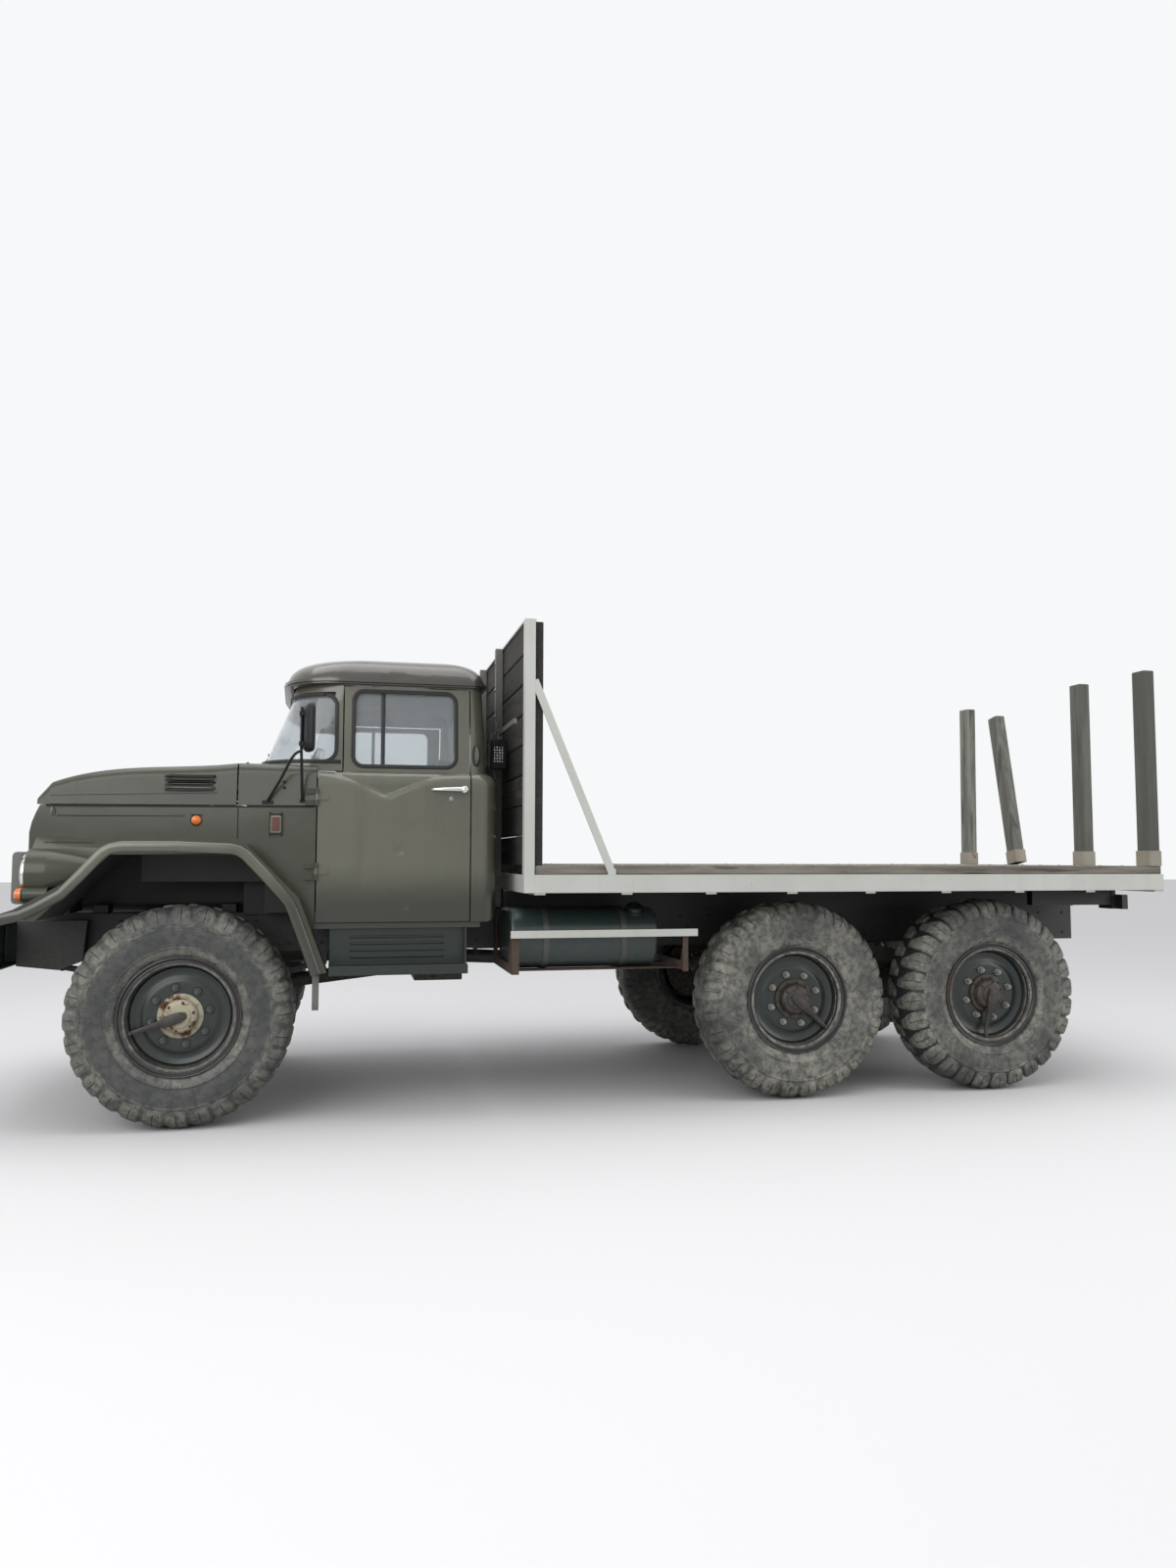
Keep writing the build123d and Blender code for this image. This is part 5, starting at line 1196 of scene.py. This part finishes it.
# Painted shade: black plates behind the front wheel and under the nose beside the frame fill places that lie in
# shade
@mirrored("chassis", bevel=0.002)
def splashPlates(bm):
    box(bm, (1.86, 0.445, 1.05), (2.04, 0.452, 1.36))
    prism(bm, [(2.86, 0.81), (2.98, 0.765), (3.19, 0.79), (3.19, 1.03), (2.84, 1.03)],
          axes((0, 0.47, 0), (1, 0, 0), (0, 0, 1), (0, -1, 0)), -0.06)


repeaterSpot = (2.242, 1.565)


@mirrored("amber")
def repeater(bm):
    knob(bm, wingSkin, *repeaterSpot, [(0, -0.003), (0.026, -0.003), (0.026, 0.006), (0.022, 0.016), (0.012, 0.022),
                                       (0, 0.024)], 24)


@mirrored("blackRubber")
def repeaterBase(bm):
    y = skinY(wingSkin, *repeaterSpot)
    knob(bm, wingSkin, *repeaterSpot,
         [(0, -0.003), (0.0305, -0.003), (0.0305, 0.003), (0.0285, 0.0055), (0, 0.0055)], 24)
    box(bm, (2.215, y - 0.002, 1.5915), (2.269, y + 0.013, 1.5955))


@mirrored("blackPlastic")
def scuttleKnobs(bm):
    for z in (1.739, 1.77):
        knob(bm, cowlSkin, 1.804, z, [(0, -0.002), (0.007, -0.002), (0.007, 0.003), (0.004, 0.0045), (0.004, 0.01),
                                      (0.0065, 0.012), (0.0065, 0.017), (0, 0.018)], 12)


print("body fittings ready")

# Lamps
headlampValues = {"x": 3.02, "y": 0.99, "z": 1.29}
# Piece, finish, sides and profile; only the rim is open in the middle
headlampTable = (
    ("Rim", "chrome", 48, [(0.099, 0.0), (0.0995, 0.012), (0.097, 0.02), (0.091, 0.026), (0.086, 0.027),
                           (0.083, 0.022),
                           (0.083, 0.016), (0.09, 0.0)]),
    ("Bowl", "chrome", 40, [(0, 0.002), (0.016, 0.0022), (0.045, 0.006), (0.07, 0.0125), (0.086, 0.02),
                            (0.088, 0.018),
                            (0.088, 0.0), (0, 0.0)]),
    ("Lens", "lamp", 40, [(0, 0.0325), (0.03, 0.032), (0.058, 0.0285), (0.078, 0.0235), (0.085, 0.0195),
                          (0.085, 0.0165),
                          (0.075, 0.0195), (0.056, 0.0245), (0.03, 0.0285), (0, 0.0292)]))
for side in (1, -1):
    where = facing((headlampValues["x"], side * headlampValues["y"], headlampValues["z"]), (1, 0, 0))
    for name, look, sides, profile in headlampTable:
        bm = bmesh.new()
        lathe(bm, profile, where, sides, closed=name == "Rim")
        made = solid("headlamp" + name, bm, look)
        if name == "Rim" and side > 0:
            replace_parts(made, "headlamps")
guardEdge = [(3.015, 1.398), (3.066, 1.398), (3.079, 1.393), (3.086, 1.38), (3.086, 1.158), (3.079, 1.145),
             (3.066, 1.14),
             (3.015, 1.14), (3.015, 1.152), (3.036, 1.152), (3.042, 1.158), (3.042, 1.38), (3.036, 1.386),
             (3.015, 1.386)]


@mirrored("upright", bevel=0.002)
def guardBars(bm):
    for y in (0.93, 1.05):
        prism(bm, guardEdge, axes((0, y - 0.004, 0), (1, 0, 0), (0, 0, 1), (0, -1, 0)), -0.008)


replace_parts(guardBars[1], "lamp_guards")
signalPlace = facing((3.02, 1.082, 1.188), (1, 0, 0))
sideLampValues = {"x": 1.8415, "z": 1.5465, "wide": 0.0205, "high": 0.037}
lampX, lampZ, wide, high = sideLampValues.values()
lampY = skinY(wingSkin, lampX, lampZ)


@mirrored("blackPlastic")
def signalBase(bm):
    lathe(bm, [(0, 0), (0.034, 0), (0.034, 0.008), (0.031, 0.011), (0, 0.011)], signalPlace, 28)


@mirrored("brownLens", bevel=0.003)
def sideLens(bm):
    box(bm, (lampX - wide, lampY, lampZ - high), (lampX + wide, lampY + 0.018, lampZ + high))


@mirrored("cream")
def sideRim(bm):
    edge = roundedFrame((lampX - wide - 0.003, lampZ - high - 0.003), (lampX + wide + 0.003, lampZ + high + 0.003),
                        0.006, 3)
    sweep(bm, [(x, lampY + 0.005, z) for x, z in edge], bar((0.0035, -0.006), (0.0035, 0.005)), True,
          [(0, 1, 0)] * len(edge))


@mirrored("blackPlastic")
def sideCage(bm):
    wire, front = circle(0.0028, 6), lampY + 0.019
    for x in (lampX - wide - 0.009, lampX + wide + 0.009):
        sweep(bm, [(x, lampY, lampZ - high - 0.024), (x, front, lampZ - high - 0.018),
                   (x, front, lampZ + high + 0.018),
                   (x, lampY, lampZ + high + 0.024)], wire, normals=[(1, 0, 0)] * 4)
    for z in (lampZ - high - 0.015, lampZ + high + 0.015):
        sweep(bm, [(lampX - wide - 0.01, front, z), (lampX + wide + 0.01, front, z)], wire)


@mirrored("amber")
def signalLens(bm):
    lathe(bm, [(0, 0.004), (0.033, 0.004), (0.033, 0.02), (0.0295, 0.034), (0.02, 0.0415), (0, 0.0438)],
          signalPlace, 28)


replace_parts(signalLens[1], "side_lamps")


@mirrored("red", bevel=0.001)
def tailLenses(bm):
    for y, half in ((0.795, 0.04), (0.86, 0.02), (0.915, 0.035)):
        box(bm, (-3.3375, y - half, 1.072), (-3.334, y + half, 1.138))


# Work lamp on a bar between the near upright and post of the headboard
workLampValues = {"low": (0.574, 0.565, 1.888), "high": (0.67, 0.675, 2.062), "bar": 2.1}
low, high, barZ = workLampValues.values()
lampBox = bmesh.new()
box(lampBox, low, high)
solid("workLampBox", lampBox, "blackPlastic", bevel=0.008, segments=3)
mount = bmesh.new()
box(mount, (0.6052, 0.36, barZ - 0.014), (0.6232, 1.231, barZ + 0.014))
box(mount, (0.6, 0.352, barZ - 0.026), (0.628, 0.412, barZ + 0.026))
for y in (0.59, 0.65):
    box(mount, (0.603, y - 0.01, high[2] - 0.004), (0.627, y + 0.01, barZ + 0.024))
lathe(mount, [(0, 0), (0.013, 0), (0.013, 0.04), (0.008, 0.052), (0, 0.054)],
      facing((0.63, 0.62, barZ + 0.012), (0, 0, 1)), 16)
solid("workLampBar", mount, "upright", bevel=0.002)
frameEdge = roundedFrame((low[0] + 0.016, low[2] + 0.028), (high[0] - 0.012, high[2] - 0.034), 0.014, 4)
bezel = bmesh.new()
sweep(bezel, [(x, high[1] + 0.001, z) for x, z in frameEdge], bar((0.004, -0.005), (0.003, 0.005)), True,
      [(0, 1, 0)] * len(frameEdge))
solid("workLampBezel", bezel, "seam")
facets = bmesh.new()
for line in range(6):
    for column in range(4):
        spot = (low[0] + 0.0265 + 0.0155 * column, high[1] + 0.0005, low[2] + 0.042 + 0.0168 * line)
        lathe(facets, [(0, 0.0052), (0.004, 0.004), (0.0074, 0.0), (0, -0.002)], facing(spot, (0, 1, 0)), 8)
solid("workLampFacets", facets, "chrome")

# Mirrors on their rods, turned in towards the driver
mirrorValues = {"place": (1.682, 1.184, 2.04), "turn": 15, "half": (0.075, 0.126), "rod": 0.0075}
mirrorPlace = Matrix.Translation(mirrorValues["place"]) @ Matrix.Rotation(radians(mirrorValues["turn"]), 4, "Z")


@mirrored("blackPlastic", smooth=40)
def mirrorHead(bm):
    wide, high = mirrorValues["half"]
    outline = roundedFrame((-wide, -high), (wide, high), 0.04)
    skinRings(bm, [[bm.verts.new(mirrorPlace @ Vector((shift, u * (1 - shrink / wide), v * (1 - shrink / high))))
                    for u, v in outline] for shift, shrink in
                   ((-0.022, 0.008), (-0.02, 0.002), (-0.012, 0.0), (0.0, 0.002), (0.012, 0.012), (0.019, 0.028),
                    (0.022, 0.045))])


@mirrored("blackPlastic", smooth=40)
def mirrorRods(bm):
    # An upright from the scuttle that carries the head, and a stay from further forward that curves into it
    footY, stayY = skinY(cowlSkin, 1.709, 1.672), skinY(cowlSkin, 1.884, 1.664)
    for path in (((1.709, footY - 0.003, 1.667), (1.709, footY + 0.014, 1.682), (1.711, footY + 0.045, 1.76),
                  (1.713, 1.168, 1.9), (1.714, 1.178, 1.96), (1.714, 1.18, 2.145)),
                 ((1.884, stayY - 0.003, 1.661), (1.882, stayY + 0.01, 1.672), (1.82, stayY + 0.062, 1.775),
                  (1.766, 1.16, 1.873), (1.748, 1.17, 1.899), (1.731, 1.174, 1.913), (1.713, 1.176, 1.918))):
        sweep(bm, path, circle(mirrorValues["rod"], 10))
    for x, y, z, half in ((1.709, footY, 1.668, 0.013), (1.884, stayY, 1.661, 0.028)):
        box(bm, (x - half, y - 0.006, z - 0.009), (x + half, y + 0.008, z + 0.009))
    for z in (1.955, 2.11):
        box(bm, (1.688, 1.165, z - 0.011), (1.726, 1.197, z + 0.011))


@mirrored("mirror", smooth=40)
def mirrorGlass(bm):
    prism(bm, roundedFrame((-0.064, -0.115), (0.064, 0.115), 0.034),
          mirrorPlace @ axes((-0.0225, 0, 0), (0, 1, 0), (0, 0, 1), (1, 0, 0)), 0.002)


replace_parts(mirrorHead[0], "mirrors")
print("lamps and mirrors ready")

# Driver's controls and seats
steeringValues = {"place": (1.3202, 0.43, 1.6704), "axis": (-0.684656, 0, 0.728867), "radius": 0.215,
                  "grip": 0.0138}
wheelPlace = facing(steeringValues["place"], steeringValues["axis"])
outward, grip = wheelPlace.to_3x3() @ Vector((0, 0, 1)), steeringValues["grip"]
steering = bmesh.new()
sweep(steering, [wheelPlace @ Vector((x, y, 0)) for x, y in circle(steeringValues["radius"], 72)], circle(grip, 12),
      True,
      [outward] * 72)
lathe(steering, [(0, -grip), (0.046, -grip), (0.046, 0.004), (0.04, 0.012), (0.028, grip), (0, grip)], wheelPlace,
      32)
for turn in (90, 210, 330):
    spoke = Vector((cos(radians(turn)), sin(radians(turn)), 0))
    sweep(steering, [wheelPlace @ (spoke * r + Vector((0, 0, h))) for r, h in
                     ((0.03, -0.004), (0.08, -0.006), (0.16, -0.003), (0.21, 0.0))],
          bar((0.012, -0.003), (0.01, 0.004)), normals=[outward] * 4)
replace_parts(solid("steeringWheel", steering, "blackPlastic", "steering_wheel", smooth=40), "steering_wheel")
padValues = {"cuts": 21, "roundness": 7.0, "crown": 0.14, "seams": 7.5, "seamDepth": 0.035, "wrinkle": 0.003,
             "fill": 0.7}


def cushion(name, low, high, tilt, seed):
    # A stuffed pad: crowned faces, rounded edges, seams and slight wrinkles
    bm = bmesh.new()
    bmesh.ops.create_cube(bm, size=2.0)
    bmesh.ops.subdivide_edges(bm, edges=bm.edges[:], cuts=padValues["cuts"], use_grid_fill=True)
    middle, half = (Vector(low) + Vector(high)) / 2, (Vector(high) - Vector(low)) / 2
    power = padValues["roundness"]
    for vert in bm.verts:
        u = vert.co.copy()
        u /= (abs(u.x) ** power + abs(u.y) ** power + abs(u.z) ** power) ** (1 / power)
        flat = (1 - min(1, abs(u.x)) ** 2.5) * (1 - min(1, abs(u.y)) ** 2.5)
        seam = max(0, 1 - abs(((u.y * half.y * padValues["seams"]) % 1) - 0.5) / 0.09)
        lift = 1 - padValues["crown"] + padValues["crown"] * flat ** 0.5
        u.z *= lift * (1 - padValues["seamDepth"] * seam if abs(u.z) > 0.6 else 1)
        spot = Vector((u.x * half.x, u.y * half.y, u.z * half.z))
        wrinkle = noise.noise(Vector((spot.x * 9 + seed, spot.y * 14, spot.z * 9))) * padValues["wrinkle"]
        spot *= 1 - abs(wrinkle) / 0.06
        vert.co = tilt @ spot + middle
    return solid(name, bm, "seat", smooth=80)


for k, (y0, y1) in enumerate(((0.19, 0.69), (-0.74, 0.09))):
    base = cushion("seatCushion", (0.892, y0, 1.331), (1.348, y1, 1.4495), Matrix.Identity(3), k)
    lean = Matrix.Rotation(radians(-90 + 8.9), 3, "Y")
    back = cushion("seatBack", (0.9 - 0.245, y0, 1.705 - 0.0475), (0.9 + 0.245, y1, 1.705 + 0.0475), lean, k + 5)
    if k == 0:
        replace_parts(base, "seat_cushions")
        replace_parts(back, "seat_backs")
controls = bmesh.new()
for x, y, z in ((1.52, 0.02, 1.3), (1.43, -0.05, 1.25)):
    sweep(controls, [(x + 0.03, y, 1.092), (x, y, z), (x - 0.04, y, z + 0.16)], circle(0.007, 8))
    lathe(controls, [(0, -0.016), (0.012, -0.012), (0.018, 0), (0.012, 0.014), (0, 0.018)],
          Matrix.Translation((x - 0.04, y, z + 0.17)), 12)
solid("gearLevers", controls, "blackPlastic")
dials = bmesh.new()
for y, size in ((0.31, 0.045), (0.43, 0.055), (0.55, 0.045)):
    lathe(dials, [(0, -0.002), (size, -0.002), (size, 0.008), (size - 0.005, 0.009), (size - 0.008, 0.004),
                  (0, 0.004)],
          facing((1.507, y, 1.7), (-1, 0, 0.15)), 24)
solid("dials", dials, "dial")
print("cab inside ready")


# Straps and caps on the fuel tanks, clamps on the springs, and what closes the gaps behind doors, grille and bed
@mirrored("strap")
def tankStraps(bm):
    outline = roundedFrame((0.54 - 0.0015, 0.762), (1.02 + 0.0015, 1.092 + 0.0015), 0.15, 9)
    for x in (0.4, -0.04):
        sweep(bm, [(x, y, z) for y, z in outline], bar((0.016, -0.001), (0.016, 0.0025)), True,
              [Vector((0, y - 0.78, z - 0.927)).normalized() for y, z in outline])


@mirrored("deepGreen")
def tankCaps(bm):
    lathe(bm, [(0, -0.01), (0.052, -0.01), (0.052, 0.012), (0.047, 0.016), (0.047, 0.034), (0.04, 0.04),
               (0, 0.041)],
          facing((-0.12, 0.93, 1.072), (0, 0.45, 0.9)), 28)


@mirrored("axle")
def springClips(bm):
    for x in (2.29 - 0.085, 2.29 + 0.085):
        for y in (0.352, 0.438):
            sweep(bm, [(x, y, 0.6), (x, y, 0.745)], circle(0.008, 8))
        box(bm, (x - 0.014, 0.344, 0.735), (x + 0.014, 0.446, 0.75))


@mirrored("upright", bevel=0.001)
def flapBracket(bm):
    box(bm, (1.606, 1.086, 0.588), (1.64, 1.094, 0.79))
    lathe(bm, [(0, -0.012), (0.011, -0.012), (0.011, 0.007), (0, 0.007)], facing((1.623, 1.094, 0.612), (0, 1, 0)),
          6)


@mirrored("blackRubber")
def doorSeals(bm):
    # Closes the line of sight through the gap between door and windscreen pillar
    prism(bm, [(0.96, 1.845), (0.929, 2.127), (0.92, 2.127), (0.951, 1.845)],
          axes((1.5005, 0, 0), (0, 1, 0), (0, 0, 1), (1, 0, 0)), 0.0155)


# A sill under the rear of each rail in chassis black, partly a real sill and partly painted shade for the dark
# strip under the rail
@mirrored("chassis", bevel=0.003)
def rearSills(bm):
    box(bm, (-3.29, 0.84, 1.085), (-2.7, 0.895, 1.178))


radiator = bmesh.new()
box(radiator, (2.925, -0.57, 1.07), (2.965, 0.57, 1.6))
solid("radiator", radiator, "chassis", bevel=0.004)
print("fittings ready")

# Studio: a pale floor, soft light from above and from the side the camera is on
studio = {"floor": 0.64, "floorBounce": 0.28, "backdrop": (0.93, 0.94, 0.95, 1), "horizon": 0.34, "zenith": 0.95,
          "domeTop": 0.65, "tint": 1.03, "top": 300, "key": 430, "fill": 150}


def grey(level, tint=1.0):
    return level, level, level * tint, 1


def seenOrLit(tree, low, high):
    # One colour for what the camera sees, also in metal and through glass, another for the light that it gives
    rays = put(tree, "LightPath").outputs
    thrown = calc(tree, "ADD", rays["Is Glossy Ray"], rays["Is Transmission Ray"])
    return mix(tree, calc(tree, "ADD", rays["Is Camera Ray"], thrown), low, high)


floorLook = plain("studio floor", (studio["floor"],) * 3, 0.8)
floorTree = floorLook.node_tree
feed(floorTree, floorTree.nodes["Principled BSDF"].inputs,
     {"Base Color": seenOrLit(floorTree, grey(studio["floorBounce"]), grey(studio["floor"]))})
floorMesh = bpy.data.meshes.new("floor")
floorMesh.from_pydata([(-60, -60, 0), (60, -60, 0), (60, 60, 0), (-60, 60, 0)], [], [(0, 1, 2, 3)])
floorMesh.materials.append(floorLook)
newPiece("floor", floorMesh)
scene = bpy.context.scene
scene.world = bpy.data.worlds.new("studio")
scene.world.use_nodes = True
sky = scene.world.node_tree
height = put(sky, "SeparateXYZ")
feed(sky, height.inputs, {0: put(sky, "TexCoord").outputs["Generated"]})
dome = mix(sky, ramp(sky, height.outputs["Z"], 0.0, studio["domeTop"]), grey(studio["horizon"], studio["tint"]),
           grey(studio["zenith"], studio["tint"]))
feed(sky, sky.nodes["Background"].inputs, {"Color": seenOrLit(sky, dome, studio["backdrop"])})


def lamp(name, place, aim, size, watts):
    data = bpy.data.lights.new(name, "AREA")
    data.shape, data.energy = "RECTANGLE", watts
    data.size, data.size_y = size
    light = newPiece(name, data)
    light.location = place
    light.rotation_euler = (Vector(aim) - Vector(place)).to_track_quat("-Z", "Y").to_euler()
    return light


lamp("topLight", (0.5, 1.0, 7.5), (0, 0, 1), (10, 5), studio["top"])
lamp("keyLight", (6.5, 7.5, 5.0), (0.5, 0, 1.2), (8, 6), studio["key"])
lamp("fillLight", (-8, 5.5, 3.5), (-1, 0, 1), (5, 4), studio["fill"])
# The photograph's place and direction, angles in degrees
photoView = {"place": (1.507, 6.911, 1.367), "yaw": 12.796, "pitch": 3.961, "roll": -0.114, "lens": 24.92}
yaw, pitch, roll = (radians(photoView[key]) for key in ("yaw", "pitch", "roll"))
ahead = Vector((-sin(yaw) * cos(pitch), -cos(yaw) * cos(pitch), sin(pitch)))
cameraData = bpy.data.cameras.new("camera")
cameraData.sensor_fit, cameraData.sensor_height = "VERTICAL", 36
cameraData.lens, cameraData.clip_end = photoView["lens"], 200
camera = newPiece("camera", cameraData)
camera.location = photoView["place"]
camera.rotation_euler = (ahead.to_track_quat("-Z", "Y").to_matrix() @ Matrix.Rotation(-roll, 3, "Z")).to_euler()
scene.camera = camera
scene.view_settings.view_transform = "Standard"
